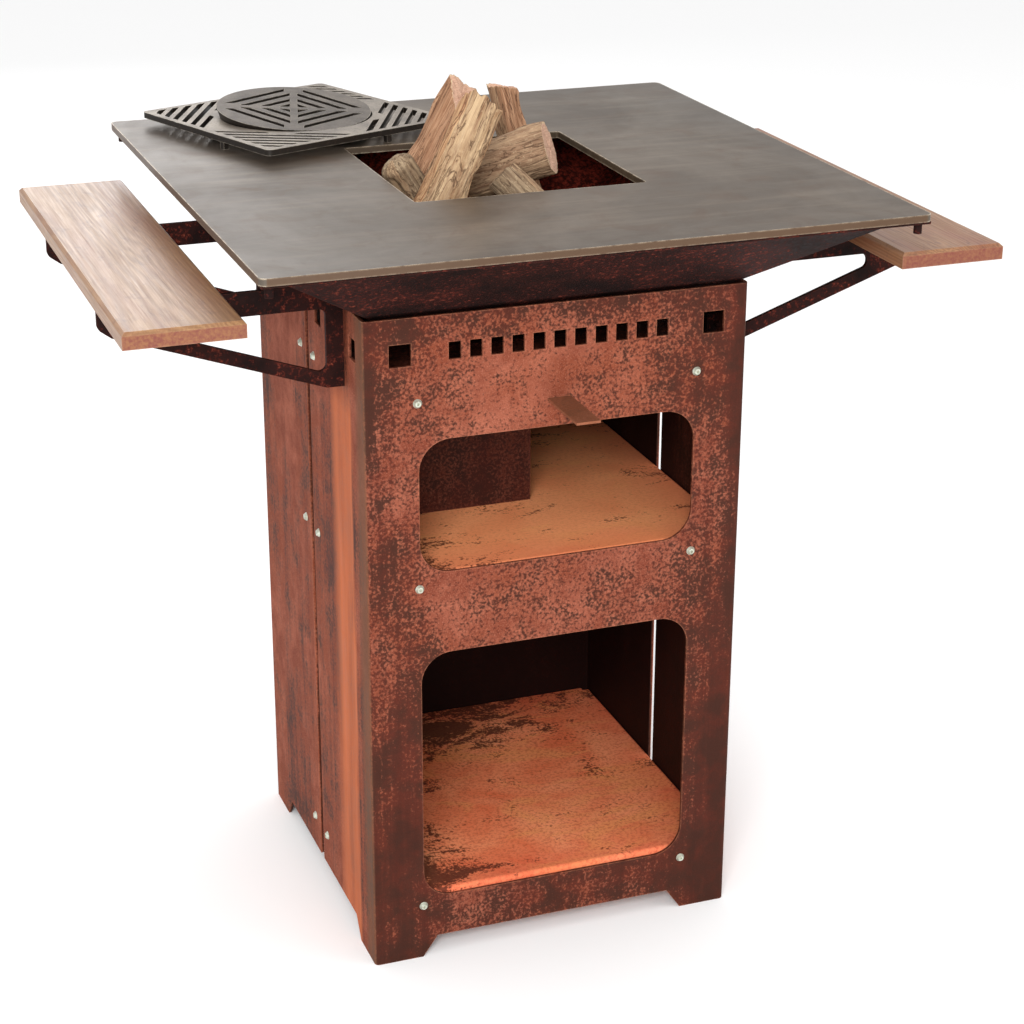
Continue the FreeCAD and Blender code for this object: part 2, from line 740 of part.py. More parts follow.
def bracket(label, side, y):
    """A flat triangular plate with a strut, and two tongues through the shell's slots."""
    body = newBody(label)
    profile = newSketch(body, "XZ_Plane", label + "Outline", -y)
    top = boardUnder
    wallTop = top - bracketArm
    wallLow = top - bracketTall
    tip = bracketLong

    def at(out, z):
        return (side * (half + out), z)

    nose = tip - bracketNose
    polygon(profile, [at(0, wallLow), at(bracketPost, wallLow), at(nose, top - bracketTip),
                      at(tip, top - bracketTip + bracketNoseTall), at(tip, top), at(bracketStart, top),
                      at(0, wallTop)])
    pad(body, profile, bracketThick, middle=True)
    triangle = newSketch(body, "XZ_Plane", label + "Triangle", -y)
    fall = (bracketTall - bracketTip) / (nose - bracketPost)
    strutTop = wallLow + bracketStrip
    far = bracketPost + (bracketTall - bracketStrip - bracketArm - bracketGapEnd) / fall
    polygon(triangle, [at(bracketPost, strutTop), at(far, strutTop + (far - bracketPost) * fall),
                       at(far, top - bracketArm), at(bracketPost, top - bracketArm)])
    pocket(body, triangle, bracketThick * 3, middle=True)

    def triangleCorner(edge):
        middle = edge.CenterOfMass
        out = abs(middle.x) - half.number
        return along(edge, 1) and (near(out, bracketPost) or near(out, far)) and not near(middle.z, wallLow)

    roundEdges(body, triangleCorner, bracketRound)

    def tipCorner(edge):
        middle = edge.CenterOfMass
        return along(edge, 1) and near(abs(middle.x) - half.number, tip) and middle.z < top.number - 1

    roundEdges(body, tipCorner, bracketTipRound)
    tongues = newSketch(body, "XZ_Plane", label + "Tongues", -y)
    for low in tongueLows():
        polygon(tongues, [at(0, low), at(0, low + tongueTall), at(-sheetThick - tongueDeep, low + tongueTall),
                          at(-sheetThick - tongueDeep, low)])
    pad(body, tongues, bracketThick, middle=True)
    keys = newSketch(body, "XZ_Plane", label + "KeyHoles", -y)
    for low in tongueLows():
        rectangle(keys, side * (inner - keySide / 2), low + tongueTall / 2, keySide, keySide)
    pocket(body, keys, bracketThick * 3, middle=True)
    return body


def bracketSet():
    """Four brackets, the keys behind their tongues, and the cleats and screws under the boards."""
    keys, cleats, screws = [], [], []
    outer = half + bracketLong - cleatFromTip
    for sideName, side in (("left", -1), ("right", 1)):
        for endName, end in (("front", -1), ("rear", 1)):
            y = end * bracketPlace
            nodes.append(bracket(f"bracket_{sideName}_{endName}", side, y))
            for number, low in enumerate(tongueLows()):
                middle = side * (inner - keySide / 2)
                keys.append(box(f"key{sideName}{endName}{number}",
                                (middle - keySide / 2, y - keyLong / 2, low + tongueTall / 2 - keySide / 2),
                                (keySide, keyLong, keySide)))
            face = y - end * bracketThick / 2
            lowY = face if end < 0 else face - cleatWide
            lowX = side * outer if side < 0 else side * outer - cleatLong
            cleats.append(cleat(f"cleat{sideName}{endName}", lowX, lowY))
            for step in (-cleatScrew, cleatScrew):
                screws.append((lowX + cleatLong / 2 + step, lowY + cleatWide / 2, boardUnder - cleatThick))
    nodes.append(group("bracket_keys", keys))
    nodes.append(group("board_cleats", cleats))
    nodes.append(screwSet("board_screws", screws, (0, 0, 1), cleatThick))


def cleat(name, x, y):
    """A small flat tab that carries the board's screws."""
    blank = box(name + "Blank", (x, y, boardUnder - cleatThick), (cleatLong, cleatWide, cleatThick))
    bores = []
    for number, step in enumerate((-cleatScrew, cleatScrew)):
        bores.append(primitive("Part::Cylinder", f"{name}Bore{number}",
                               {"Radius": shankRadius + holeClear, "Height": cleatThick},
                               (x + cleatLong / 2 + step, y + cleatWide / 2, boardUnder - cleatThick)))
    both = fuse(name + "Bores", bores)
    both.Visibility = False
    left = cut(name, blank, both)
    left.Visibility = False
    return left


def board(label, side):
    """A wooden side board with chamfered top edges."""
    body = newBody(label)
    outline = newSketch(body, "XY_Plane", label + "Outline", boardUnder)
    rectangle(outline, side * (griddle / 2 + boardDeep / 2), 0, boardDeep, boardLong)
    pad(body, outline, boardThick)

    def topEdge(edge):
        return near(edge.CenterOfMass.z, boardUnder + boardThick)

    roundEdges(body, topEdge, boardEdge, "PartDesign::Chamfer")
    return body


def emberPieces():
    """A slotted plate that holds the wood above the bowl's floor, and its four legs."""
    plate = newBody("ember_grate")
    outline = newSketch(plate, "XY_Plane", "emberOutline", emberTop - emberThick)
    rectangle(outline, 0, 0, emberWide, emberWide)
    pad(plate, outline, emberThick)
    slots = newSketch(plate, "XY_Plane", "emberSlots", emberTop)
    for i in range(-3, 4):
        rectangle(slots, i * emberPitch, 0, emberSlot, emberWide - 2 * emberMargin)
    pocket(plate, slots, emberThick * 3, middle=True)
    floorTop = deckTop + sheetThick
    reach = emberWide / 2 - emberLegIn
    legs = []
    for number, (sx, sy) in enumerate(((-1, -1), (1, -1), (-1, 1), (1, 1))):
        low = (sx * reach - emberLeg / 2, sy * reach - emberLeg / 2, floorTop)
        legs.append(box(f"emberLeg{number}", low, (emberLeg, emberLeg, emberTop - emberThick - floorTop)))
    return [plate, group("ember_legs", legs)]


def grateFrame():
    """The loose square cooking grate, with slots across its corners and a round hole."""
    body = newBody("grate_frame")
    under = griddleTop + grateLift
    outline = newSketch(body, "XY_Plane", "frameOutline", under)
    rectangle(outline, 0, 0, grateWide, grateWide)
    circle(outline, 0, 0, grateHole)
    pad(body, outline, grateThick)

    def outerCorner(edge):
        middle = edge.CenterOfMass
        return along(edge, 2) and near(abs(middle.x), grateWide / 2) and near(abs(middle.y), grateWide / 2)

    roundEdges(body, outerCorner, grateBar * 0.9)
    slots = newSketch(body, "XY_Plane", "frameSlots", under + grateThick)
    for sx in (-1, 1):
        for sy in (-1, 1):
            for number in range(6):
                cornerSlot(slots, sx, sy, number)
    pocket(body, slots, grateThick * 3, middle=True)
    feet = newSketch(body, "XY_Plane", "frameFeet", griddleTop)
    side = grateWide / 2 - grateBar / 2
    for x, y in ((side * 0.3, -side), (side, side * 0.1), (side * -0.45, side), (-side, side * -0.3)):
        rectangle(feet, x, y, grateBar * 0.9, grateBar * 0.9)
    pad(body, feet, grateLift)
    placeLoose(body)
    return body


diagonal = math.sqrt(2)


def cornerSlot(sketch, sx, sy, number):
    """One slot square to a corner's diagonal: whole near the corner, or in two parts beside the hole."""
    reach = grateWide / 2 - grateBar
    middle = 2 * reach - (number + 0.9) * diagonal * slotPitch
    near_, far = middle - slotWide / diagonal, middle + slotWide / diagonal
    keep = grateHole + grateBar * 0.8
    if near_.number >= keep.number * diagonal:
        polygon(sketch, [(sx * (far - reach), sy * reach), (sx * reach, sy * (far - reach)),
                         (sx * reach, sy * (near_ - reach)), (sx * (near_ - reach), sy * reach)])
        return
    across = math.sqrt(2 * keep.number ** 2 - near_.number ** 2)
    stop = (near_ + across) / 2
    if reach.number - stop.number < slotWide.number or near_.number - reach.number < grateBar.number / 2:
        return
    corners = [(reach, far - reach), (reach, near_ - reach), (stop, near_ - stop), (stop, far - stop)]
    polygon(sketch, [(sx * p, sy * q) for p, q in corners])
    polygon(sketch, [(sx * q, sy * p) for p, q in corners])


def grateInsert():
    """The round disc in the grate: a deep flared ring with a slotted web, a spine and nested diamonds."""
    body = newBody("grate_insert")
    section = newSketch(body, "XZ_Plane", "discSection")
    low = grateHole - discUnder
    high = low + discFlare
    wall = grateBar
    polygon(section, [(0, discThick - discWeb), (low - wall, discThick - discWeb), (low - wall, 0), (low, 0),
                      (high, discThick), (0, discThick)])
    turned = body.newObject("PartDesign::Revolution", "discTurned")
    turned.Profile = section
    turned.ReferenceAxis = (section, ["V_Axis"])
    turned.Angle = 360
    section.Visibility = False
    doc.recompute()
    slots = newSketch(body, "XY_Plane", "discSlots", discThick)
    ring = low - wall * 0.6
    for number in range(5):
        for sx in (-1, 1):
            for sy in (-1, 1):
                discSlot(slots, sx, sy, number, ring)
    pocket(body, slots, discThick * 3, middle=True)
    return body


def discSlot(sketch, sx, sy, number, ring):
    """One slot of a quadrant, from the spine to the cross line, or between two places on the ring."""
    far = (number + 0.93) * diagonal * discPitch - discSlotWide / 2 * (1 if number else 0.2)
    near_ = far - discSlotWide * diagonal
    if far.number >= ring.number * diagonal or near_.number < 2 * discSpine.number + 1:
        return
    stop = discSpine
    if far.number > ring.number:
        across = math.sqrt(2 * ring.number ** 2 - far.number ** 2)
        clipped = (far - across) / 2
        if clipped.number > stop.number:
            stop = clipped
    corners = [(stop, far - stop), (far - stop, stop), (near_ - stop, stop), (stop, near_ - stop)]
    if near_.number > 2 * stop.number:
        polygon(sketch, [(sx * p, sy * q) for p, q in corners])


def placeLoose(thing):
    """Lays the loose grate on the griddle at its own turn."""
    turn = Rotation(Vector(0, 0, 1), grateTurn.number)
    thing.Placement = Placement(Vector(0, 0, 0), turn)
    bind(thing, "Placement.Base.x", grateX)
    bind(thing, "Placement.Base.y", grateY)


def placeDisc(disc):
    """Tips the disc: its rear edge lies on the frame's rim and its front edge has dropped into the hole."""
    toward = math.radians(discUphill.number)
    tipAxis = Vector(-math.sin(toward), math.cos(toward), 0)
    turn = Rotation(tipAxis, -discTip.number) * Rotation(Vector(0, 0, 1), grateTurn.number + discTurn.number)
    disc.Placement = Placement(Vector(0, 0, 0), turn)
    bind(disc, "Placement.Base.x", grateX + discSlip * math.cos(toward))
    bind(disc, "Placement.Base.y", grateY + discSlip * math.sin(toward))
    rise = (grateHole - discSlip) * math.sin(math.radians(discTip.number))
    bind(disc, "Placement.Base.z", griddleTop + grateLift + grateThick - rise + discRise)


# each leaning log: bottom and top of its middle line on the plan, its length upwards and its radius
leaningLogs = {
    "log_1": {"foot": (-109, 55), "head": (-19, 55), "tall": 152, "radius": 33, "sides": 6},
    "log_2": {"foot": (-113, -60), "head": (-20, -60), "tall": 163, "radius": 33, "sides": 8},
    "log_3": {"foot": (96, 92), "head": (44, 92), "tall": 144, "radius": 28, "sides": 5},
    "log_5": {"foot": (58, -122), "head": (-5, -56), "tall": 68, "radius": 22, "sides": 7},
    "log_6": {"foot": (-78, -6), "head": (-122, -6), "tall": 74, "radius": 21, "sides": 6},
}
cutLog = {"middle": (-22, 30), "low": 53, "end": (69, -30), "high": 93, "radius": 35, "sides": 9}
blockPlace = (20, 4)
logSpare = 400


def prismBetween(name, start, end, radius, sides):
    """A many-sided prism from one point to another, both measured up from the base logs."""
    run = Vector(*end) - Vector(*start)
    thing = primitive("Part::Prism", name, {"Circumradius": Size(radius), "Height": Size(run.Length)},
                      (Size(start[0]), Size(start[1]), logBase + start[2]), Rotation(Vector(0, 0, 1), run))
    thing.Polygon = sides
    return thing


def firewood():
    """Two split logs on the ember grate, logs leaning on them and one lying across a short block."""
    shoulder = emberTop + baseTall * 0.55
    top, foot = baseHalf * 0.9, baseHalf * 0.52
    for label, x in (("log_7", -basePlace), ("log_8", basePlace)):
        body = newBody(label)
        profile = newSketch(body, "XZ_Plane", label + "Section")
        polygon(profile, [(x - foot, emberTop), (x + foot, emberTop), (x + baseHalf, shoulder),
                          (x + top, logBase), (x - top, logBase), (x - baseHalf, shoulder)])
        pad(body, profile, baseLong, middle=True)
        nodes.append(body)
    for label, log in leaningLogs.items():
        foot = Vector(log["foot"][0], log["foot"][1], 0)
        head = Vector(log["head"][0], log["head"][1], log["tall"])
        below = foot - (head - foot) * 0.4
        whole = prismBetween(label + "Whole", below, head, log["radius"], log["sides"])
        floor = box(label + "Floor", (Size(-logSpare), Size(-logSpare), logBase - logSpare),
                    (Size(2 * logSpare), Size(2 * logSpare), Size(logSpare)))
        nodes.append(cut(label, whole, floor))
    middle = Vector(*cutLog["middle"], cutLog["low"])
    end = Vector(*cutLog["end"], cutLog["high"])
    across = prismBetween("log_4", middle, end, cutLog["radius"], cutLog["sides"])
    across.Label = "log_4"
    nodes.append(across)
    block = primitive("Part::Prism", "blockWhole", {"Circumradius": blockRadius, "Height": blockTall},
                      (Size(blockPlace[0]), Size(blockPlace[1]), logBase))
    block.Polygon = 7
    nodes.append(cut("log_9", block, across))


nodes = []
nodes.append(shell("front_shell", True))
nodes.append(shell("rear_shell", False))
deck = tray("top_deck", deckTop)
airHole(deck, "deck", deckTop, airHoleRadius)
nodes.append(deck)
middleShelf = tray("middle_shelf", middleTop)
dividerScrewHoles = newSketch(middleShelf, "XY_Plane", "shelfHoles", middleTop)
for holeX, holeY, holeZ in dividerScrewPlaces():
    circle(dividerScrewHoles, holeX, holeY, shankRadius + holeClear)
pocket(middleShelf, dividerScrewHoles, sheetThick * 4, middle=True)
nodes.append(middleShelf)
nodes.append(tray("bottom_shelf", bottomTop))
fixings()
nodes.append(divider())
dividerGrip = dividerThick + sheetThick
nodes.append(screwSet("divider_screws", dividerScrewPlaces(), (0, 0, -1), dividerGrip + nutTall + screwSpare))
nodes.append(nutSet("divider_nuts", dividerScrewPlaces(), (0, 0, -1), dividerGrip))
nodes.append(damperRail("damper_rail_left", -1))
nodes.append(damperRail("damper_rail_right", 1))
nodes.extend(damperPieces())
nodes.extend(bowlPieces())
nodes.extend(emberPieces())
nodes.extend(griddlePieces())
nodes.append(grateFrame())
insert = grateInsert()
placeDisc(insert)
nodes.append(insert)
nodes.append(board("left_board", -1))
nodes.append(board("right_board", 1))
bracketSet()
firewood()

doc.recompute()
for thing in doc.Objects:
    if "Invalid" in thing.State or "Error" in thing.State:
        raise RuntimeError("failed: " + thing.Name)
for node in nodes:
    if node.Shape.isNull() or not node.Shape.isValid():
        raise RuntimeError("bad shape: " + node.Label)
    node.Shape.exportStep("parts/" + node.Label + ".step")
    print(node.Label, len(node.Shape.Solids), round(node.Shape.Volume / 1000), "cm3")
print(len(nodes), "nodes")
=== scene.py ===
# Fire pit with grate: the finishes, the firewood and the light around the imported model
import json
import math

import bpy
import numpy as np
from mathutils import Matrix, Vector


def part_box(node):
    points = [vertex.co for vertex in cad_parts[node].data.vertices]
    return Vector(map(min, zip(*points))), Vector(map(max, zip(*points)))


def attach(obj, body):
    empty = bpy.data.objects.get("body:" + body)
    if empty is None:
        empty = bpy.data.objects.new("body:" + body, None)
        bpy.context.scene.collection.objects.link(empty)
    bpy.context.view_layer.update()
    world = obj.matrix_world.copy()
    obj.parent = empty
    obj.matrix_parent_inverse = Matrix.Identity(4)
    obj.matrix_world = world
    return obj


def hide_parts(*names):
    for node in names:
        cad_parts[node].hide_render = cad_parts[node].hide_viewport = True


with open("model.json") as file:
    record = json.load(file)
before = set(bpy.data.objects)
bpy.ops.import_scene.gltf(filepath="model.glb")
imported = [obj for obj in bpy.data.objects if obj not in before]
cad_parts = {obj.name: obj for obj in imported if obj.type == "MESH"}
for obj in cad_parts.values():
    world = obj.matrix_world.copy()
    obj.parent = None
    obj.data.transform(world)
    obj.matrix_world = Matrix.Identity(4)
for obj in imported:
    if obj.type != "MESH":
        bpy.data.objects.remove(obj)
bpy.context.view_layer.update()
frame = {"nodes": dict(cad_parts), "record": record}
nodes = frame["nodes"]
scene = bpy.context.scene
scene.view_settings.view_transform = "Standard"
print("frame loaded:", len(nodes), "nodes")

cameraSettings = {"place": (-0.9899, -2.7640, 1.6948), "lens": 82.02, "yaw": 20.26, "pitch": -21.93, "roll": 0.19,
                  "sensor": 36, "sight": 200}


def makeCamera(settings):
    # looks along yaw (from +Y towards +X) and pitch (up from level), then rolls about that line
    yaw, pitch, roll = (math.radians(settings[k]) for k in ("yaw", "pitch", "roll"))
    ahead = Vector((math.sin(yaw) * math.cos(pitch), math.cos(yaw) * math.cos(pitch), math.sin(pitch)))
    right = ahead.cross(Vector((0, 0, 1))).normalized()
    up = right.cross(ahead)
    right, up = (right * math.cos(roll) + up * math.sin(roll), up * math.cos(roll) - right * math.sin(roll))
    turn = Matrix((right, up, -ahead)).transposed().to_4x4()
    data = bpy.data.cameras.new("camera")
    data.lens = settings["lens"]
    data.sensor_width = settings["sensor"]
    data.clip_end = settings["sight"]
    camera = bpy.data.objects.new("camera", data)
    camera.matrix_world = Matrix.Translation(settings["place"]) @ turn
    scene.collection.objects.link(camera)
    scene.camera = camera


makeCamera(cameraSettings)


screenCurve = {"full": 255, "straightTo": 10, "slope": 12.92, "offset": 0.055, "power": 2.4}


def tone(red, green, blue):
    # a screen colour, 0 to 255, as the linear colour that a shader takes
    curve = screenCurve
    values = []
    for level in (red, green, blue):
        share = level / curve["full"]
        bent = ((share + curve["offset"]) / (1 + curve["offset"])) ** curve["power"]
        values.append(bent if level > curve["straightTo"] else share / curve["slope"])
    return (*values, 1)


def join(tree, socket, value):
    if isinstance(value, bpy.types.NodeSocket):
        tree.links.new(value, socket)
    else:
        socket.default_value = value


def noise(tree, place, scale, detail=4, rough=0.55, twist=0.0):
    node = tree.nodes.new("ShaderNodeTexNoise")
    join(tree, node.inputs["Vector"], place)
    join(tree, node.inputs["Scale"], scale)
    node.inputs["Detail"].default_value = detail
    node.inputs["Roughness"].default_value = rough
    node.inputs["Distortion"].default_value = twist
    return node.outputs["Fac"]


def stretch(tree, place, scale, shift=(0, 0, 0)):
    node = tree.nodes.new("ShaderNodeMapping")
    join(tree, node.inputs["Vector"], place)
    node.inputs["Scale"].default_value = scale
    node.inputs["Location"].default_value = shift
    return node.outputs["Vector"]


def sums(tree, kind, first, second=0.0, third=0.0):
    node = tree.nodes.new("ShaderNodeMath")
    node.operation = kind
    for socket, value in zip(node.inputs, (first, second, third)):
        join(tree, socket, value)
    return node.outputs[0]


def band(tree, value, low, high, start=0.0, end=1.0):
    # 0 below low, 1 above high, straight between
    node = tree.nodes.new("ShaderNodeMapRange")
    for name, item in (("Value", value), ("From Min", low), ("From Max", high), ("To Min", start), ("To Max", end)):
        join(tree, node.inputs[name], item)
    return node.outputs["Result"]


def blendColour(tree, amount, first, second):
    # first where amount is 0, second where it is 1
    node = tree.nodes.new("ShaderNodeMix")
    node.data_type = "RGBA"
    join(tree, node.inputs[0], amount)
    join(tree, node.inputs[6], first)
    join(tree, node.inputs[7], second)
    return node.outputs[2]


def split(tree, vector):
    node = tree.nodes.new("ShaderNodeSeparateXYZ")
    join(tree, node.inputs[0], vector)
    return node.outputs[0], node.outputs[1], node.outputs[2]


def relief(tree, height, strength, distance):
    node = tree.nodes.new("ShaderNodeBump")
    join(tree, node.inputs["Height"], height)
    node.inputs["Strength"].default_value = strength
    node.inputs["Distance"].default_value = distance
    return node.outputs["Normal"]


def newGroup(name, inputs, outputs):
    group = bpy.data.node_groups.new(name, "ShaderNodeTree")
    kinds = {"vector": "NodeSocketVector", "value": "NodeSocketFloat", "colour": "NodeSocketColor"}
    for label, kind, default in inputs:
        socket = group.interface.new_socket(label, in_out="INPUT", socket_type=kinds[kind])
        if default is not None:
            socket.default_value = default
    for label, kind in outputs:
        group.interface.new_socket(label, in_out="OUTPUT", socket_type=kinds[kind])
    return group, group.nodes.new("NodeGroupInput").outputs, group.nodes.new("NodeGroupOutput").inputs


def useGroup(tree, group, values):
    node = tree.nodes.new("ShaderNodeGroup")
    node.node_tree = group
    for name, value in values.items():
        join(tree, node.inputs[name], value)
    return node.outputs


def newMaterial(name, metallic=0.0, specular=0.5, coat=0.0, coatRough=0.3):
    material = bpy.data.materials.new(name)
    material.use_nodes = True
    tree = material.node_tree
    shader = tree.nodes["Principled BSDF"]
    shader.inputs["Metallic"].default_value = metallic
    shader.inputs["Specular IOR Level"].default_value = specular
    shader.inputs["Coat Weight"].default_value = coat
    shader.inputs["Coat Roughness"].default_value = coatRough
    place = tree.nodes.new("ShaderNodeTexCoord").outputs["Object"]
    return material, tree, shader.inputs, place


def finish(tree, shader, colour, rough, height, strength, distance):
    join(tree, shader["Base Color"], colour)
    join(tree, shader["Roughness"], rough)
    join(tree, shader["Normal"], relief(tree, height, strength, distance))


def times(tree, first, second):
    return sums(tree, "MULTIPLY", first, second)


def addTimes(tree, first, share, last):
    # first times share, and last added to it
    return sums(tree, "MULTIPLY_ADD", first, share, last)


def centred(tree, value):
    return sums(tree, "SUBTRACT", value, 0.5)


def inverse(tree, value):
    return sums(tree, "SUBTRACT", 1.0, value)


def farther(tree, x, y):
    # the larger of two distances from the middle
    return sums(tree, "MAXIMUM", sums(tree, "ABSOLUTE", x), sums(tree, "ABSOLUTE", y))


def drawnNoise(tree, place, drawn):
    scale, shift, settings = drawn
    return noise(tree, stretch(tree, place, scale, shift), *settings)


def mixTones(tree, amount, pair):
    return blendColour(tree, amount, tone(*pair[0]), tone(*pair[1]))


def paint(tree, colour, amount, shade):
    return blendColour(tree, amount, colour, tone(*shade))


def facingNormal(tree):
    return split(tree, tree.nodes.new("ShaderNodeNewGeometry").outputs["Normal"])


# lays a paler tone on the edges: rubbed wear, and on the shell, griddle and grate also a painted edge highlight
def wearAndEdgeHighlight(tree, place, colour, look):
    worn = useGroup(tree, edgeGroup, {"Place": place, "Width": look["wornWidth"]})["Mask"]
    return paint(tree, colour, times(tree, worn, look["wornShare"]), look["worn"])


# in each look a noise is (scale, detail, roughness, twist), a drawn noise is (stretch, shift, noise), and a band is
# (from, to), then the values at its two ends where they aren't 0 and 1; colours are screen tones
edgeLook = {"width": 0.003, "samples": 6, "turned": (0.01, 0.2), "chips": (90, 4, 0.7), "chipped": (0.34, 0.56)}


def makeEdgeGroup():
    # how far the rounded normal turns away from the true one, broken up by noise: 1 on edges that get the paler edge
    # tone, which is wear and, on the shell, griddle and grate, also a painted edge highlight
    group, given, out = newGroup("wornAndLitEdge", [("Place", "vector", None), ("Width", "value", edgeLook["width"])],
                                 [("Mask", "value")])
    rounded = group.nodes.new("ShaderNodeBevel")
    rounded.samples = edgeLook["samples"]
    join(group, rounded.inputs["Radius"], given["Width"])
    facing = group.nodes.new("ShaderNodeVectorMath")
    facing.operation = "DOT_PRODUCT"
    join(group, facing.inputs[0], rounded.outputs["Normal"])
    join(group, facing.inputs[1], group.nodes.new("ShaderNodeNewGeometry").outputs["Normal"])
    edge = band(group, inverse(group, facing.outputs["Value"]), *edgeLook["turned"])
    chips = band(group, noise(group, given["Place"], *edgeLook["chips"]), *edgeLook["chipped"])
    join(group, out["Mask"], times(group, edge, chips))
    return group


rustLook = {
    "broad": (6.5, 5, 0.62, 0.4), "middle": (27, 6, 0.66, 0.3), "grain": (265, 2, 0.6), "grit": (620, 2, 0.5),
    "streak": ((95, 95, 4.5), (0, 0, 0), (1, 5, 0.65, 0.3)), "run": ((17, 17, 1.5), (3, 1, 2), (1, 5, 0.6, 0.6)),
    "salmonBand": (0.38, 0.62), "salmon": ((114, 56, 40), (148, 84, 64)),
    "warmBand": (0.40, 0.64), "warm": (148, 76, 46), "paleBand": (0.52, 0.68), "paleShare": 0.4,
    "pale": (176, 116, 94), "darkShare": 0.55, "broadShare": 0.75, "middleShare": 0.55, "runShare": 1.0,
    "grainBand": (0.39, 0.62), "grainTurn": (0.4, 0.6), "grains": ((72, 29, 20), (42, 22, 16)), "grainShare": 0.88,
    "sunkBand": (0.08, 0.42), "sunkShare": 0.5, "sunk": (46, 23, 16),
    "middleHeight": 0.4, "grainHeight": 0.6, "rough": 0.84, "smoother": 0.2,
}


def makeRustGroup():
    # salmon rust under dark grains: fine noise mixes the two, and the level it passes follows broad noise, so the
    # grains crowd together in drifting clouds; Streaks draws the level out upwards, Smooth thins the grains out
    look = rustLook
    group, given, out = newGroup(
        "rustSkin",
        [("Place", "vector", None), ("Dark", "value", 0.5), ("Streaks", "value", 0.3), ("Smooth", "value", 0.0),
         ("Warmth", "value", 0.5)],
        [("Colour", "colour"), ("Roughness", "value"), ("Height", "value")])
    place = given["Place"]
    broad, middle, grain, grit = (noise(group, place, *look[k]) for k in ("broad", "middle", "grain", "grit"))
    streak, run = (drawnNoise(group, place, look[k]) for k in ("streak", "run"))
    colour = mixTones(group, band(group, middle, *look["salmonBand"]), look["salmon"])
    warm = times(group, band(group, broad, *look["warmBand"]), given["Warmth"])
    colour = paint(group, colour, warm, look["warm"])
    pale = times(group, band(group, grit, *look["paleBand"]), look["paleShare"])
    colour = paint(group, colour, pale, look["pale"])
    level = times(group, centred(group, given["Dark"]), look["darkShare"])
    level = addTimes(group, centred(group, broad), look["broadShare"], level)
    level = addTimes(group, centred(group, middle), look["middleShare"], level)
    drawn = addTimes(group, centred(group, run), look["runShare"], centred(group, streak))
    level = addTimes(group, drawn, given["Streaks"], level)
    grains = addTimes(group, centred(group, grain), inverse(group, given["Smooth"]), 0.5)
    mask = band(group, sums(group, "ADD", grains, level), *look["grainBand"])
    redder = mixTones(group, band(group, middle, *look["grainTurn"]), look["grains"])
    colour = blendColour(group, times(group, mask, look["grainShare"]), colour, redder)
    sunk = band(group, level, *look["sunkBand"])
    colour = paint(group, colour, times(group, sunk, look["sunkShare"]), look["sunk"])
    high = addTimes(group, middle, look["middleHeight"], times(group, grain, look["grainHeight"]))
    join(group, out["Colour"], colour)
    join(group, out["Roughness"], sums(group, "SUBTRACT", look["rough"], times(group, mask, look["smoother"])))
    join(group, out["Height"], high)
    return group


grainLook = {
    "rings": 900.0, "bend": ((9, 1.3, 9), (0, 0, 0), (1, 4, 0.5, 0.4)), "slant": 0.045, "bendWidth": 0.11,
    "heart": 0.86, "line": (-1.0, 1.0), "fibre": ((420, 9, 420), (0, 0, 0), (1, 4, 0.6)),
    "pore": ((900, 34, 900), (0, 0, 0), (1, 2, 0.5)), "poreBand": (0.6, 0.7),
}


def makeWoodGroup():
    # growth lines: the sine of the distance from a heart line below the board, bent by drawn-out noise,
    # with short dark pores and fine fibres along the board
    look = grainLook
    group, given, out = newGroup(
        "boardGrain",
        [("Place", "vector", None), ("Rings", "value", look["rings"])],
        [("Line", "value"), ("Fibre", "value"), ("Pore", "value")])
    bend, fibre, pore = (drawnNoise(group, given["Place"], look[k]) for k in ("bend", "fibre", "pore"))
    x, y, z = split(group, given["Place"])
    away = addTimes(group, bend, look["bendWidth"], addTimes(group, y, look["slant"], x))
    below = sums(group, "SUBTRACT", z, look["heart"])
    radius = sums(group, "SQRT", addTimes(group, away, away, times(group, below, below)))
    line = sums(group, "SINE", times(group, radius, given["Rings"]))
    join(group, out["Line"], band(group, line, *look["line"]))
    join(group, out["Fibre"], fibre)
    join(group, out["Pore"], band(group, pore, *look["poreBand"]))
    return group


edgeGroup = makeEdgeGroup()
rustGroup = makeRustGroup()
woodGroup = makeWoodGroup()


shellLook = {
    "specular": 0.1, "side": (0.2475, 0.2492), "corner": (0.150, 0.245), "lower": (0.46, 0.16),
    "brightUp": (0.68, 0.77), "brightAcross": (0.19, 0.06), "brightTop": (0.875, 0.82),
    "dark": 0.47, "cornerDark": 0.22, "lowerDark": 0.30, "rightward": (0.0, 0.24), "rightDark": 0.16,
    "brightDark": -0.16, "rimward": (0.84, 0.88), "rimDark": 0.16, "rear": (-0.004, 0.004), "rearDark": 0.03,
    "sideDark": -0.08, "streaks": 0.18, "cornerStreaks": 0.35, "sideStreaks": 0.30, "lowerStreaks": 0.22,
    "warmth": 0.35, "sideSmooth": 0.55, "waver": ((1, 30, 2.2), (0, 2, 5), (1, 4, 0.6)), "waverWidth": 0.06,
    "stripFront": (-0.196, -0.184), "stripRear": (-0.095, -0.125), "stripTop": (0.79, 0.74, 0.0, 0.85),
    "stripPatches": (0.35, 0.6, 0.55, 1.0), "strip": (188, 104, 66),
    "bend": (-0.208, -0.226), "bendShare": 0.6, "bendTone": (98, 72, 54),
    # worn: the paler edge tone is wear and also a painted edge highlight
    "wornWidth": 0.003, "wornShare": 0.4, "worn": (182, 120, 90),
    # inside, with its share rising by depth: painted shade on the inner faces
    "outside": (0.2464, 0.2470), "depth": (-0.24, 0.0, 0.55, 0.92), "inside": (24, 8, 6), "relief": (0.5, 0.001),
}


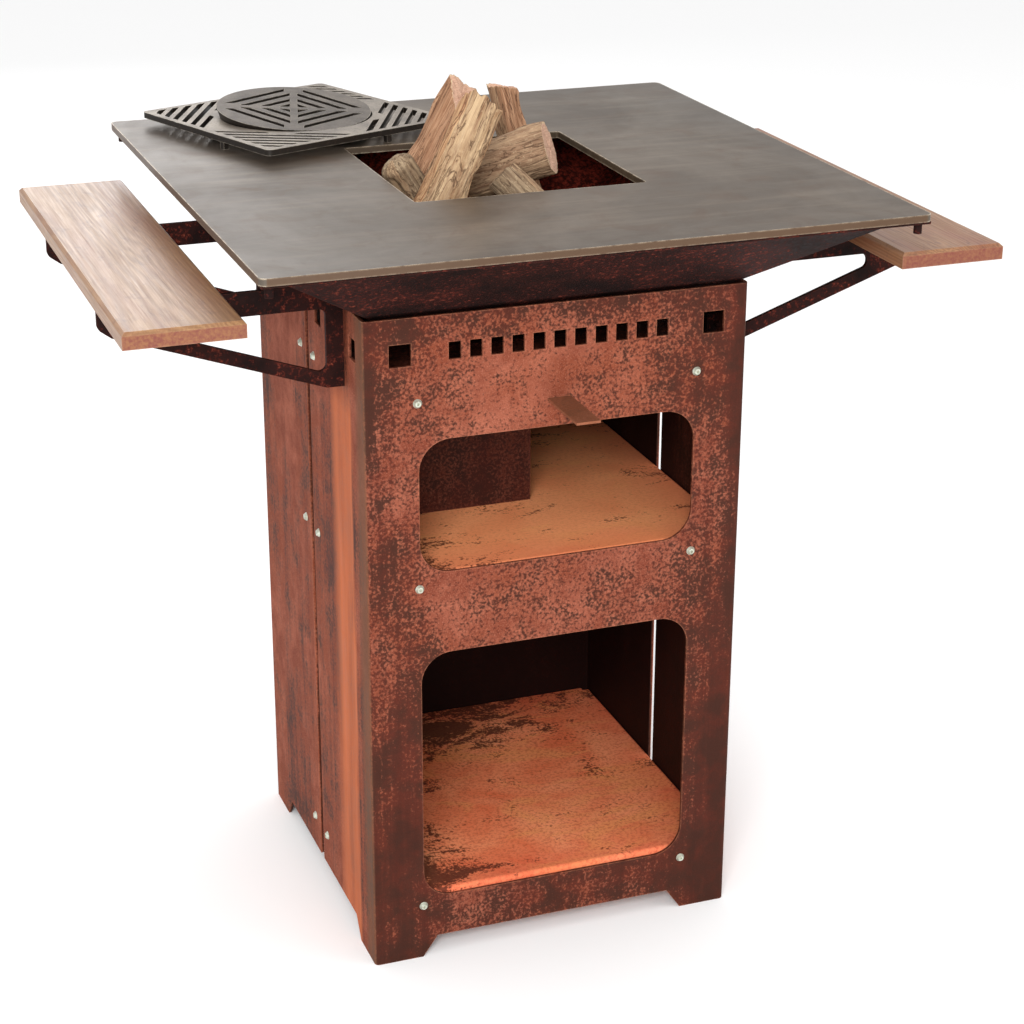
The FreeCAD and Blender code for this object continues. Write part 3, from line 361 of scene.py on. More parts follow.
def shellRust():
    # bright and grainy over the upper window, streaked and dark lower down and towards the corner bends; the sides
    # are smoother, with a bright washed strip near the front corner; the inside faces are painted nearly black as
    # shade, darker further in; the paler worn edges are also a painted edge highlight
    look = shellLook
    material, tree, shader, place = newMaterial("shellRust", specular=look["specular"])
    x, y, z = split(tree, place)
    farX = sums(tree, "ABSOLUTE", x)
    aside = band(tree, farX, *look["side"])
    ahead = inverse(tree, aside)
    corner = times(tree, band(tree, farX, *look["corner"]), ahead)
    lower = times(tree, band(tree, z, *look["lower"]), ahead)
    bright = times(tree, band(tree, z, *look["brightUp"]), band(tree, farX, *look["brightAcross"]))
    bright = times(tree, bright, band(tree, z, *look["brightTop"]))
    dark = addTimes(tree, corner, look["cornerDark"], look["dark"])
    dark = addTimes(tree, lower, look["lowerDark"], dark)
    dark = addTimes(tree, band(tree, x, *look["rightward"]), times(tree, ahead, look["rightDark"]), dark)
    dark = addTimes(tree, bright, look["brightDark"], dark)
    dark = addTimes(tree, times(tree, band(tree, z, *look["rimward"]), ahead), look["rimDark"], dark)
    dark = addTimes(tree, times(tree, aside, band(tree, y, *look["rear"])), look["rearDark"], dark)
    dark = addTimes(tree, aside, look["sideDark"], dark)
    streaks = addTimes(tree, corner, look["cornerStreaks"], look["streaks"])
    streaks = addTimes(tree, aside, look["sideStreaks"], streaks)
    streaks = addTimes(tree, lower, look["lowerStreaks"], streaks)
    rust = useGroup(tree, rustGroup, {"Place": place, "Dark": dark, "Streaks": streaks, "Warmth": look["warmth"],
                                      "Smooth": times(tree, aside, look["sideSmooth"])})
    waver = drawnNoise(tree, place, look["waver"])
    across = addTimes(tree, centred(tree, waver), look["waverWidth"], y)
    strip = times(tree, band(tree, across, *look["stripFront"]), band(tree, across, *look["stripRear"]))
    strip = times(tree, times(tree, strip, aside), band(tree, z, *look["stripTop"]))
    strip = times(tree, strip, band(tree, waver, *look["stripPatches"]))
    colour = paint(tree, rust["Colour"], strip, look["strip"])
    greyed = times(tree, times(tree, band(tree, y, *look["bend"]), aside), look["bendShare"])
    colour = paint(tree, colour, greyed, look["bendTone"])
    # paler tone on the window and sheet edges: wear and a painted edge highlight
    colour = wearAndEdgeHighlight(tree, place, colour, look)
    # painted shade: the inside faces are darkened towards nearly black, more the further back they are, up to the
    # middle
    inside = inverse(tree, band(tree, farther(tree, x, y), *look["outside"]))
    colour = paint(tree, colour, times(tree, inside, band(tree, y, *look["depth"])), look["inside"])
    finish(tree, shader, colour, rust["Roughness"], rust["Height"], *look["relief"])
    return material


plainEdge = {"wornWidth": 0.003, "wornShare": 0.35, "worn": (150, 86, 60), "specular": 0.1, "relief": (0.5, 0.001)}
plainLooks = {
    "plainRust": {"Dark": 0.6, "Streaks": 0.35, "Smooth": 0.0, "Warmth": 0.3, "sunk": (0.35, (50, 22, 17))},
    "pullRust": {"Dark": 0.42, "Streaks": 0.1, "Smooth": 0.6, "Warmth": 0.2, "sunk": (0.45, (136, 92, 64))},
    "dividerRust": {"Dark": 0.60, "Streaks": 0.2, "Smooth": 0.0, "Warmth": 0.1, "sunk": (0.62, (34, 11, 8))},
}


def plainRust(name):
    # trays, divider and pull: the same rust, sunk by a share into a darker or paler tone
    look = plainLooks[name]
    material, tree, shader, place = newMaterial(name, specular=plainEdge["specular"])
    given = {key: look[key] for key in ("Dark", "Streaks", "Smooth", "Warmth")}
    rust = useGroup(tree, rustGroup, {"Place": place, **given})
    colour = paint(tree, rust["Colour"], *look["sunk"])
    colour = wearAndEdgeHighlight(tree, place, colour, plainEdge)
    finish(tree, shader, colour, rust["Roughness"], rust["Height"], *plainEdge["relief"])
    return material


shelfLook = {
    "specular": 0.1, "cloud": (9, 6, 0.62, 0.5), "vein": ((6, 16, 6), (0, 0, 0), (1, 6, 0.6, 1.2)),
    "fine": (210, 4, 0.7), "blotch": ((11, 20, 11), (1.7, 0.6, 0), (1, 6, 0.72, 0.8)),
    "plateBand": (0.36, 0.64), "plate": ((226, 116, 76), (242, 152, 106)),
    "veinBand": (0.52, 0.64, 0.0, 0.7), "veinTone": (232, 150, 92),
    "fineBand": (0.46, 0.62, 0.0, 0.5), "fineTone": (168, 74, 52),
    "upperBand": (0.30, 0.45, 0.0, 0.5), "upper": (250, 170, 112),
    "rimBand": (0.17, 0.246), "rimShare": 0.4, "rim": (206, 86, 62),
    # back: painted shade, the blotches crowd together towards the back
    "leftFront": (0.6, (-0.14, -0.34), 0.20), "back": (-0.5, (0.03, 0.30), 0.30), "fineShare": 0.5,
    "blotchBand": (0.60, 0.68), "blotchShare": 0.85, "blotchTone": (62, 32, 25),
    "fineHeight": 0.6, "cloudHeight": 0.4, "rough": (0.3, 0.7, 0.7, 0.9), "relief": (0.35, 0.0008),
}


def shelfRust():
    # orange plates with golden veins, redder at the rim, with dark blotches in the left front corner, and more of
    # them towards the back as painted shade; the upper one is paler
    look = shelfLook
    material, tree, shader, place = newMaterial("shelfRust", specular=look["specular"])
    x, y, z = split(tree, place)
    cloud, fine = noise(tree, place, *look["cloud"]), noise(tree, place, *look["fine"])
    vein, blotch = drawnNoise(tree, place, look["vein"]), drawnNoise(tree, place, look["blotch"])
    colour = mixTones(tree, band(tree, cloud, *look["plateBand"]), look["plate"])
    colour = paint(tree, colour, band(tree, vein, *look["veinBand"]), look["veinTone"])
    colour = paint(tree, colour, band(tree, fine, *look["fineBand"]), look["fineTone"])
    colour = paint(tree, colour, band(tree, z, *look["upperBand"]), look["upper"])
    rim = band(tree, farther(tree, x, y), *look["rimBand"])
    colour = paint(tree, colour, times(tree, rim, look["rimShare"]), look["rim"])
    slant, reach, share = look["leftFront"]
    backSlant, backReach, backShare = look["back"]
    leftFront = band(tree, addTimes(tree, y, slant, x), *reach)
    # painted shade: more dark blotches towards the back
    back = band(tree, addTimes(tree, x, backSlant, y), *backReach)
    lift = addTimes(tree, leftFront, share, times(tree, back, backShare))
    grains = addTimes(tree, centred(tree, fine), look["fineShare"], lift)
    mask = band(tree, sums(tree, "ADD", blotch, grains), *look["blotchBand"])
    colour = paint(tree, colour, times(tree, mask, look["blotchShare"]), look["blotchTone"])
    high = addTimes(tree, fine, look["fineHeight"], times(tree, cloud, look["cloudHeight"]))
    finish(tree, shader, colour, band(tree, cloud, *look["rough"]), high, *look["relief"])
    return material


steelLook = {
    "specular": 0.1, "clouds": (12, 6, 0.65, 0.4), "freckle": (190, 5, 0.7), "grain": (420, 3, 0.6),
    "cloudBand": (0.36, 0.64), "cloudTones": ((18, 7, 6), (44, 17, 13)), "cloudShare": 0.4,
    "freckleBand": (0.54, 0.66, 0.0, 0.75), "freckleTone": (98, 38, 28),
    "paleBand": (0.64, 0.72, 0.0, 0.6), "pale": (140, 76, 56),
    "grainBand": (0.5, 0.7, 0.0, 0.4), "grainTone": (18, 10, 9),
    "upward": (0.3, 0.5, 0.0), "glowBand": (0.44, 0.60, 0.1, 1.0), "glow": (170, 62, 46),
    "wornWidth": 0.0025, "wornShare": 0.35, "worn": (84, 42, 31),
    "freckleHeight": 0.6, "cloudHeight": 0.4, "rough": (0.3, 0.7, 0.62, 0.85), "relief": (0.45, 0.001),
}
embers = {"darkSteel": 0.0, "bowlSteel": 0.5}


def darkSteel(name):
    # heat-darkened rust: nearly black red-brown with red freckles and pale grains; embers redden what faces up
    look = steelLook
    material, tree, shader, place = newMaterial(name, specular=look["specular"])
    clouds, freckle, grain = (noise(tree, place, *look[k]) for k in ("clouds", "freckle", "grain"))
    colour = mixTones(tree, band(tree, clouds, *look["cloudBand"]), look["cloudTones"])
    level = addTimes(tree, centred(tree, clouds), look["cloudShare"], freckle)
    colour = paint(tree, colour, band(tree, level, *look["freckleBand"]), look["freckleTone"])
    colour = paint(tree, colour, band(tree, level, *look["paleBand"]), look["pale"])
    colour = paint(tree, colour, band(tree, grain, *look["grainBand"]), look["grainTone"])
    upward = band(tree, facingNormal(tree)[2], *look["upward"], embers[name])
    colour = paint(tree, colour, times(tree, upward, band(tree, level, *look["glowBand"])), look["glow"])
    colour = wearAndEdgeHighlight(tree, place, colour, look)
    high = addTimes(tree, freckle, look["freckleHeight"], times(tree, clouds, look["cloudHeight"]))
    finish(tree, shader, colour, band(tree, freckle, *look["rough"]), high, *look["relief"])
    return material


griddleLook = {
    "metallic": 0.55, "specular": 0.5, "clouds": (3.4, 6, 0.6, 0.5), "fine": (420, 3, 0.6),
    "blotch": (15, 6, 0.68, 0.8), "lines": ((4, 75, 60), (0, 0, 0), (1, 5, 0.6)),
    "cross": ((75, 5, 60), (2, 3, 1), (1, 4, 0.6)),
    # plate across from the left: painted sheen, paler and cooler on the left; far: painted shade towards the far
    # right
    "leftSheenBand": (-0.34, 0.05), "plate": ((104, 95, 86), (104, 88, 70)),
    "farShadeSlant": 0.6, "farShadeBand": (0.0, 0.5), "farShadeShare": 0.75, "far": (74, 63, 49),
    "cloudBand": (0.42, 0.62, 0.0, 0.65), "cloudTone": (66, 54, 43),
    "lineBand": (0.48, 0.68, 0.0, 0.34), "lineTone": (122, 108, 92),
    "crossBand": (0.52, 0.7, 0.0, 0.2), "crossTone": (86, 76, 65),
    "blotchBand": (0.52, 0.66, 0.0, 0.45), "blotchTone": (88, 64, 46),
    # worn: the near-white rim tone, laid at a high share, is rubbed wear and a painted edge highlight
    "rimBand": (0.33, 0.405, 0.0, 0.35), "rim": (58, 47, 38), "wornWidth": 0.0035, "wornShare": 0.9,
    "worn": (224, 206, 180), "flankBand": (0.4096, 0.4099), "flankShare": 0.7, "flank": (92, 66, 46),
    "rough": 0.20, "cloudRough": 0.30, "blotchRough": 0.16, "fineHeight": 0.5, "lineHeight": 0.6,
    "relief": (0.16, 0.0006),
}


def griddleSteel():
    # seasoned plate: brown-grey, with a painted sheen that makes the left paler and cooler and painted shade that
    # makes the far right darkest, with faint rolling marks, oil clouds that change the gloss, and a bright rim that
    # is rubbed wear and a painted edge highlight
    look = griddleLook
    material, tree, shader, place = newMaterial("griddleSteel", metallic=look["metallic"], specular=look["specular"])
    clouds, fine, blotch = (noise(tree, place, *look[k]) for k in ("clouds", "fine", "blotch"))
    lines, cross = (drawnNoise(tree, place, look[k]) for k in ("lines", "cross"))
    x, y = split(tree, place)[:2]
    # painted sheen: paler, cooler colour on the left; painted shade: darker towards the far right
    colour = mixTones(tree, band(tree, x, *look["leftSheenBand"]), look["plate"])
    far = band(tree, addTimes(tree, y, look["farShadeSlant"], x), *look["farShadeBand"])
    colour = paint(tree, colour, times(tree, far, look["farShadeShare"]), look["far"])
    colour = paint(tree, colour, band(tree, clouds, *look["cloudBand"]), look["cloudTone"])
    colour = paint(tree, colour, band(tree, lines, *look["lineBand"]), look["lineTone"])
    colour = paint(tree, colour, band(tree, cross, *look["crossBand"]), look["crossTone"])
    colour = paint(tree, colour, band(tree, blotch, *look["blotchBand"]), look["blotchTone"])
    rimward = farther(tree, x, y)
    colour = paint(tree, colour, band(tree, rimward, *look["rimBand"]), look["rim"])
    # bright rim: rubbed wear and a painted edge highlight
    colour = wearAndEdgeHighlight(tree, place, colour, look)
    flank = times(tree, band(tree, rimward, *look["flankBand"]), look["flankShare"])
    colour = paint(tree, colour, flank, look["flank"])
    rough = addTimes(tree, clouds, look["cloudRough"], look["rough"])
    rough = addTimes(tree, blotch, look["blotchRough"], rough)
    high = addTimes(tree, fine, look["fineHeight"], times(tree, lines, look["lineHeight"]))
    finish(tree, shader, colour, rough, high, *look["relief"])
    return material


ironLook = {
    "metallic": 0.35, "specular": 0.5, "sand": (520, 4, 0.6), "clouds": (20, 5, 0.6), "cloudBand": (0.35, 0.65),
    # sides: painted shade, the dark tone on faces that don't point up
    "upward": (0.55, 0.85), "sides": (34, 28, 23), "pits": (260, 3, 0.6), "pitBand": (0.56, 0.66), "pitShare": 0.5,
    # worn: the paler edge tone is wear and a painted edge highlight
    "pitTone": (64, 50, 40), "wornWidth": 0.0015, "wornShare": 0.6, "worn": (212, 200, 182),
    "rough": 0.34, "sandRough": 0.3, "sandHeight": 0.5, "cloudHeight": 0.3, "relief": (0.35, 0.0006),
}
ironTones = {"grateIron": ((104, 94, 84), (146, 135, 122)), "discIron": ((66, 58, 50), (104, 94, 84))}


def grateIron(name):
    # worn cast iron: sand-cast grain, rubbed pale on top, with painted shade, dark brown, on the sides and in the
    # slots; the paler edges are wear and a painted edge highlight
    look = ironLook
    material, tree, shader, place = newMaterial(name, metallic=look["metallic"], specular=look["specular"])
    sand, clouds, pits = (noise(tree, place, *look[k]) for k in ("sand", "clouds", "pits"))
    colour = mixTones(tree, band(tree, clouds, *look["cloudBand"]), ironTones[name])
    # painted shade: faces that don't point up, the sides and slot walls, are darkened
    sides = inverse(tree, band(tree, facingNormal(tree)[2], *look["upward"]))
    colour = paint(tree, colour, sides, look["sides"])
    pits = times(tree, band(tree, pits, *look["pitBand"]), look["pitShare"])
    # paler edges: wear and a painted edge highlight
    colour = wearAndEdgeHighlight(tree, place, paint(tree, colour, pits, look["pitTone"]), look)
    high = addTimes(tree, sand, look["sandHeight"], times(tree, clouds, look["cloudHeight"]))
    finish(tree, shader, colour, addTimes(tree, sand, look["sandRough"], look["rough"]), high, *look["relief"])
    return material


screwLook = {
    "metallic": 0.5, "specular": 0.5, "clouds": (180, 4, 0.6), "cloudBand": (0.36, 0.66),
    "tones": ((206, 212, 196), (158, 158, 140)), "stains": (420, 3, 0.6), "stainBand": (0.58, 0.68),
    "stainShare": 0.6, "stain": (138, 78, 52), "rough": (0.3, 0.7, 0.3, 0.5), "relief": (0.2, 0.0004),
}


def screwSteel():
    # zinc gone dull and greenish, with rust stains
    look = screwLook
    material, tree, shader, place = newMaterial("screwSteel", metallic=look["metallic"], specular=look["specular"])
    clouds, stains = noise(tree, place, *look["clouds"]), noise(tree, place, *look["stains"])
    colour = mixTones(tree, band(tree, clouds, *look["cloudBand"]), look["tones"])
    stains = times(tree, band(tree, stains, *look["stainBand"]), look["stainShare"])
    colour = paint(tree, colour, stains, look["stain"])
    finish(tree, shader, colour, band(tree, clouds, *look["rough"]), clouds, *look["relief"])
    return material


boardLook = {
    "specular": 0.45, "coatRough": 0.32, "lineShare": 0.5, "fibreBand": (0.36, 0.68, 0.0, 0.5), "poreShare": 0.45,
    "pore": (96, 58, 38), "cloud": ((20, 3.2, 20), (0, 0, 0), (1, 5, 0.62, 0.6)), "cloudBand": (0.42, 0.66, 0.0),
    "cloudTone": (124, 66, 46), "scuff": ((40, 22, 40), (0, 0, 0), (1, 6, 0.75, 0.5)),
    "scuffBand": (0.54, 0.68, 0.0), "scuffTone": (88, 50, 38), "endFacing": (0.8, 0.95),
    "endNoise": (300, 4, 0.6), "endBand": (0.35, 0.65), "endDark": (112, 50, 36),
    "wornWidth": 0.003, "wornShare": 0.3, "worn": (204, 164, 132), "fibreHeight": 0.7, "lineHeight": 0.3,
    "rough": (0.3, 0.7, 0.34, 0.55), "relief": (0.3, 0.0008),
}
boards = {
    "leftBoardWood": {"tones": ((164, 124, 84), (116, 78, 46)), "end": (134, 84, 48), "rings": 1100.0,
                      "weather": 0.45, "shift": (0.47, 0, 0), "coat": 0.25},
    "rightBoardWood": {"tones": ((158, 114, 78), (104, 68, 44)), "end": (130, 78, 48), "rings": 1500.0,
                       "weather": 0.7, "shift": (-0.47, 0.3, 0), "coat": 0.1},
}


def boardWood(name):
    # oiled hardwood: growth lines and fibres from the board group, red cloudy heartwood, redder on the end grain
    look, board = boardLook, boards[name]
    material, tree, shader, place = newMaterial(name, specular=look["specular"], coat=board["coat"],
                                                coatRough=look["coatRough"])
    moved = stretch(tree, place, (1, 1, 1), board["shift"])
    grain = useGroup(tree, woodGroup, {"Place": moved, "Rings": board["rings"]})
    colour = mixTones(tree, times(tree, grain["Line"], look["lineShare"]), board["tones"])
    colour = paint(tree, colour, band(tree, grain["Fibre"], *look["fibreBand"]), board["tones"][1])
    colour = paint(tree, colour, times(tree, grain["Pore"], look["poreShare"]), look["pore"])
    cloud = band(tree, drawnNoise(tree, place, look["cloud"]), *look["cloudBand"], board["weather"])
    colour = paint(tree, colour, cloud, look["cloudTone"])
    scuff = band(tree, drawnNoise(tree, place, look["scuff"]), *look["scuffBand"], board["weather"])
    colour = paint(tree, colour, scuff, look["scuffTone"])
    end = band(tree, sums(tree, "ABSOLUTE", facingNormal(tree)[1]), *look["endFacing"])
    rough = band(tree, noise(tree, place, *look["endNoise"]), *look["endBand"])
    colour = blendColour(tree, end, colour, mixTones(tree, rough, (board["end"], look["endDark"])))
    colour = wearAndEdgeHighlight(tree, place, colour, look)
    high = addTimes(tree, grain["Fibre"], look["fibreHeight"], times(tree, grain["Line"], look["lineHeight"]))
    finish(tree, shader, colour, band(tree, grain["Fibre"], *look["rough"]), high, *look["relief"])
    return material


logLook = {
    "specular": 0.2, "ridges": ((95, 11, 95), (0, 0, 0), (1, 6, 0.68, 0.6)), "ridgeBand": (0.40, 0.62),
    "fibres": ((360, 10, 360), (0, 0, 0), (1, 5, 0.65, 0.2)), "fibreBand": (0.36, 0.62),
    "cracks": ((60, 9, 60), (0, 0, 0), (1, 5, 0.6, 1.0)), "clouds": (26, 5, 0.62, 0.4), "crumbs": (240, 4, 0.65),
    "mossBand": (0.5, 0.72, 0.0), "moss": (120, 112, 92), "crumbBand": (0.55, 0.68, 0.0, 0.45),
    "crumb": (222, 204, 168), "barkCrack": (0.030, 0.006, 0.0, 0.75), "barkCrackTone": (52, 38, 28),
    "heartBand": (0.52, 0.7, 0.0, 0.4), "heartTone": (140, 90, 64),
    "heartCrack": (0.016, 0.004, 0.0, 0.7), "heartCrackTone": (58, 30, 22), "ringWaver": 0.12, "rings": 60,
    "ringBand": (-1.0, 1.0, 0.1, 0.5), "ringTones": ((206, 168, 144), (170, 126, 102)),
    "dustBand": (0.5, 0.66, 0.0, 0.4), "dust": (120, 82, 62), "sapBand": (0.86, 0.97), "sap": (208, 188, 150),
    "barkBand": (0.35, 0.65), "crumbHeight": 0.35, "rough": (0.3, 0.7, 0.75, 0.95), "relief": (0.8, 0.0022),
}
woods = {
    "pale": {"bark": ((112, 86, 62), (204, 184, 150)), "heart": ((146, 100, 70), (208, 168, 126)), "moss": 0.3},
    "round": {"bark": ((84, 64, 50), (186, 164, 132)), "heart": ((128, 92, 68), (190, 150, 118)), "moss": 0.4},
    "grey": {"bark": ((64, 52, 42), (168, 152, 126)), "heart": ((112, 86, 66), (176, 148, 116)), "moss": 0.6},
    "split": {"bark": ((108, 76, 56), (204, 176, 140)), "heart": ((128, 88, 62), (188, 146, 114)), "moss": 0.1},
}


def logWood(kind):
    # reads the log's own measures: Along for drawn-out grain, Bark for skin or split face, End for the sawn ends
    look, wood = logLook, woods[kind]
    material, tree, shader, place = newMaterial(kind + "Log", specular=look["specular"])

    def own(label, output):
        node = tree.nodes.new("ShaderNodeAttribute")
        node.attribute_name = label
        return node.outputs[output]

    along = own("along", "Vector")
    barky, end, radial = own("bark", "Fac"), own("end", "Fac"), own("radial", "Fac")
    ridges, fibres, cracks = (drawnNoise(tree, along, look[k]) for k in ("ridges", "fibres", "cracks"))
    clouds, crumbs = noise(tree, place, *look["clouds"]), noise(tree, place, *look["crumbs"])
    skin = mixTones(tree, band(tree, ridges, *look["ridgeBand"]), wood["bark"])
    skin = paint(tree, skin, band(tree, clouds, *look["mossBand"], wood["moss"]), look["moss"])
    skin = paint(tree, skin, band(tree, crumbs, *look["crumbBand"]), look["crumb"])
    crack = sums(tree, "ABSOLUTE", centred(tree, cracks))
    skin = paint(tree, skin, band(tree, crack, *look["barkCrack"]), look["barkCrackTone"])
    inside = mixTones(tree, band(tree, fibres, *look["fibreBand"]), wood["heart"])
    inside = paint(tree, inside, band(tree, clouds, *look["heartBand"]), look["heartTone"])
    inside = paint(tree, inside, band(tree, crack, *look["heartCrack"]), look["heartCrackTone"])
    ring = sums(tree, "SINE", times(tree, addTimes(tree, clouds, look["ringWaver"], radial), look["rings"]))
    sawn = mixTones(tree, band(tree, ring, *look["ringBand"]), look["ringTones"])
    sawn = paint(tree, sawn, band(tree, crumbs, *look["dustBand"]), look["dust"])
    sawn = paint(tree, sawn, band(tree, radial, *look["sapBand"]), look["sap"])
    colour = blendColour(tree, band(tree, barky, *look["barkBand"]), inside, skin)
    colour = blendColour(tree, end, colour, sawn)
    high = addTimes(tree, crumbs, look["crumbHeight"], blendColour(tree, barky, fibres, ridges))
    finish(tree, shader, colour, band(tree, fibres, *look["rough"]), high, *look["relief"])
    return material


finishes = {
    "rusted_steel": plainRust("plainRust"),
    "dark_steel": darkSteel("darkSteel"),
    "griddle_steel": griddleSteel(),
    "grate_iron": grateIron("grateIron"),
    "screw_steel": screwSteel(),
}
shell = shellRust()
shelf = shelfRust()
bowlSkin = darkSteel("bowlSteel")
ownSkins = {
    "front_shell": shell, "rear_shell": shell, "middle_shelf": shelf, "bottom_shelf": shelf,
    "damper_pull": plainRust("pullRust"), "inner_divider": plainRust("dividerRust"),
    "left_board": boardWood("leftBoardWood"), "right_board": boardWood("rightBoardWood"),
    "grate_insert": grateIron("discIron"), "griddle_studs": finishes["dark_steel"],
}
for wall in ("bowl_wall_front", "bowl_wall_right", "bowl_wall_rear", "bowl_wall_left", "bowl_floor"):
    ownSkins[wall] = bowlSkin
slots = {entry["node"]: entry["material_slot"] for entry in frame["record"]["subparts"]}


def dress():
    for name, thing in nodes.items():
        skin = ownSkins.get(name) or finishes.get(slots[name])
        if skin is not None:
            thing.data.materials.clear()
            thing.data.materials.append(skin)


dress()
print("finishes placed")


latticeCells = 24


def lattice(points, seed):
    # smooth noise: random values on a repeating lattice, blended between cells with an eased step
    table = np.random.RandomState(seed).rand(latticeCells, latticeCells, latticeCells) * 2 - 1
    cell = np.floor(points).astype(int)
    part = points - cell
    part = part * part * (3 - 2 * part)
    total = np.zeros(points.shape[:-1])
    for corner in np.ndindex(2, 2, 2):
        weight = np.ones(points.shape[:-1])
        index = []
        for axis in range(3):
            weight = weight * (part[..., axis] if corner[axis] else 1 - part[..., axis])
            index.append((cell[..., axis] + corner[axis]) % latticeCells)
        total += weight * table[tuple(index)]
    return total


def roughness(points, seed, layers=3):
    # lattice noise added to itself at twice the pitch and half the size, a few times
    return sum(lattice(points * 2 ** k, seed + k) / 2 ** k for k in range(layers))


# each log: the ends of its middle line as shares of its own box, its radius and bend, the planes that split it (the
# angle each faces and its distance as a share of the radius), the lean of its end cuts, how torn the top is, and
# whether its ends show sawn wood; knob and gnarl round the top off and swell it unevenly
logs = {
    "log_1": {"foot": (0.253, 0.5, 0.0), "head": (0.817, 0.5, 0.889), "radius": 0.037, "bend": 0.001, "kind": "split",
              "planes": [(1.35, 0.45), (2.9, 0.7)], "lean": (-0.75, 0.12), "ragged": 0.003, "sawn": 1, "gnarl": 0.05},
    "log_2": {"foot": (0.238, 0.5, 0.0), "head": (0.750, 0.5, 0.909), "radius": 0.036, "bend": 0.004, "kind": "pale",
              "planes": [(1.75, 0.78), (-1.3, 0.70)], "lean": (0.35, 0.1), "ragged": 0.006, "sawn": 0},
    "log_3": {"foot": (0.711, 0.5, 0.0), "head": (0.36, 0.5, 0.96), "radius": 0.032, "bend": 0.002, "kind": "split",
              "planes": [(3.3, 0.3), (-1.7, 0.6)], "lean": (0.5, -0.15), "ragged": 0.004, "sawn": 1},
    "log_4": {"foot": (0.161, 0.752, 0.312), "head": (0.841, 0.249, 0.694), "radius": 0.0375, "bend": 0.001,
              "kind": "round", "planes": [], "lean": (0.08, 0.05), "ragged": 0.001, "sawn": 1},
    "log_5": {"foot": (0.735, 0.253, 0.0), "head": (0.163, 0.852, 0.84), "radius": 0.0265, "bend": 0.001,
              "kind": "grey", "planes": [(1.2, 0.75)], "lean": (0.1, -0.1), "ragged": 0.003, "sawn": 0},
    "log_6": {"foot": (0.75, 0.5, 0.0), "head": (0.16, 0.42, 0.92), "radius": 0.0235, "bend": 0.005, "kind": "grey",
              "planes": [(-2.2, 0.9)], "lean": (0.0, 0.0), "ragged": 0.0, "sawn": 0, "knob": 0.6, "gnarl": 0.28},
    "log_7": {"foot": (0.5, 0.0, 0.5), "head": (0.5, 1.0, 0.5), "radius": 0.041, "bend": 0.0, "kind": "grey",
              "planes": [(math.pi / 2, 0.86)], "lean": (0, 0), "ragged": 0.0, "sawn": 1},
    "log_8": {"foot": (0.5, 0.0, 0.5), "head": (0.5, 1.0, 0.5), "radius": 0.041, "bend": 0.0, "kind": "grey",
              "planes": [(math.pi / 2, 0.86)], "lean": (0, 0), "ragged": 0.0, "sawn": 1},
    "log_9": {"foot": (0.5, 0.5, 0.0), "head": (0.5, 0.5, 0.9), "radius": 0.019, "bend": 0.0, "kind": "grey",
              "planes": [(0.4, 0.5)], "lean": (0, 0.3), "ragged": 0.002, "sawn": 0},
}
logSkins = {kind: logWood(kind) for kind in woods}
logShape = {
    "around": 128, "steps": 150, "capRings": 14, "capShares": (0.04, 0.97), "levelSide": 0.9,
    "slow": (1.3, 0.05), "ridge": (7, 0.022), "fibre": (16, 0.06), "apart": 3.7, "wobble": 0.06, "leastFacing": 0.05,
    "leastFlat": 0.05, "softness": 14, "barkFrom": 0.97, "barkOver": 0.06, "gnarl": 0.09, "ridgeDepth": 0.085,
    "fibreDepth": 0.022, "taper": 0.05, "endReach": (3, 2), "endGrain": 0.0006, "endPitch": (300, 9),
    "teethPitch": 2.6, "teethApart": 1.9, "teethReach": (4, 3), "teethDepth": (0.4, 1.3), "knobFrom": 0.99,
}
logSeeds = {"slow": 40, "ridge": 90, "fibre": 130, "teeth": 210, "end": 7}


def wound(angle, t, span, settings):
    # noise places that wind round the log: pitch is how fine round it, length how long a step along it is
    pitch, length = settings
    return np.stack([np.cos(angle) * np.ones_like(t) * pitch, np.sin(angle) * np.ones_like(t) * pitch,
                     span / length * np.ones_like(angle)], -1)


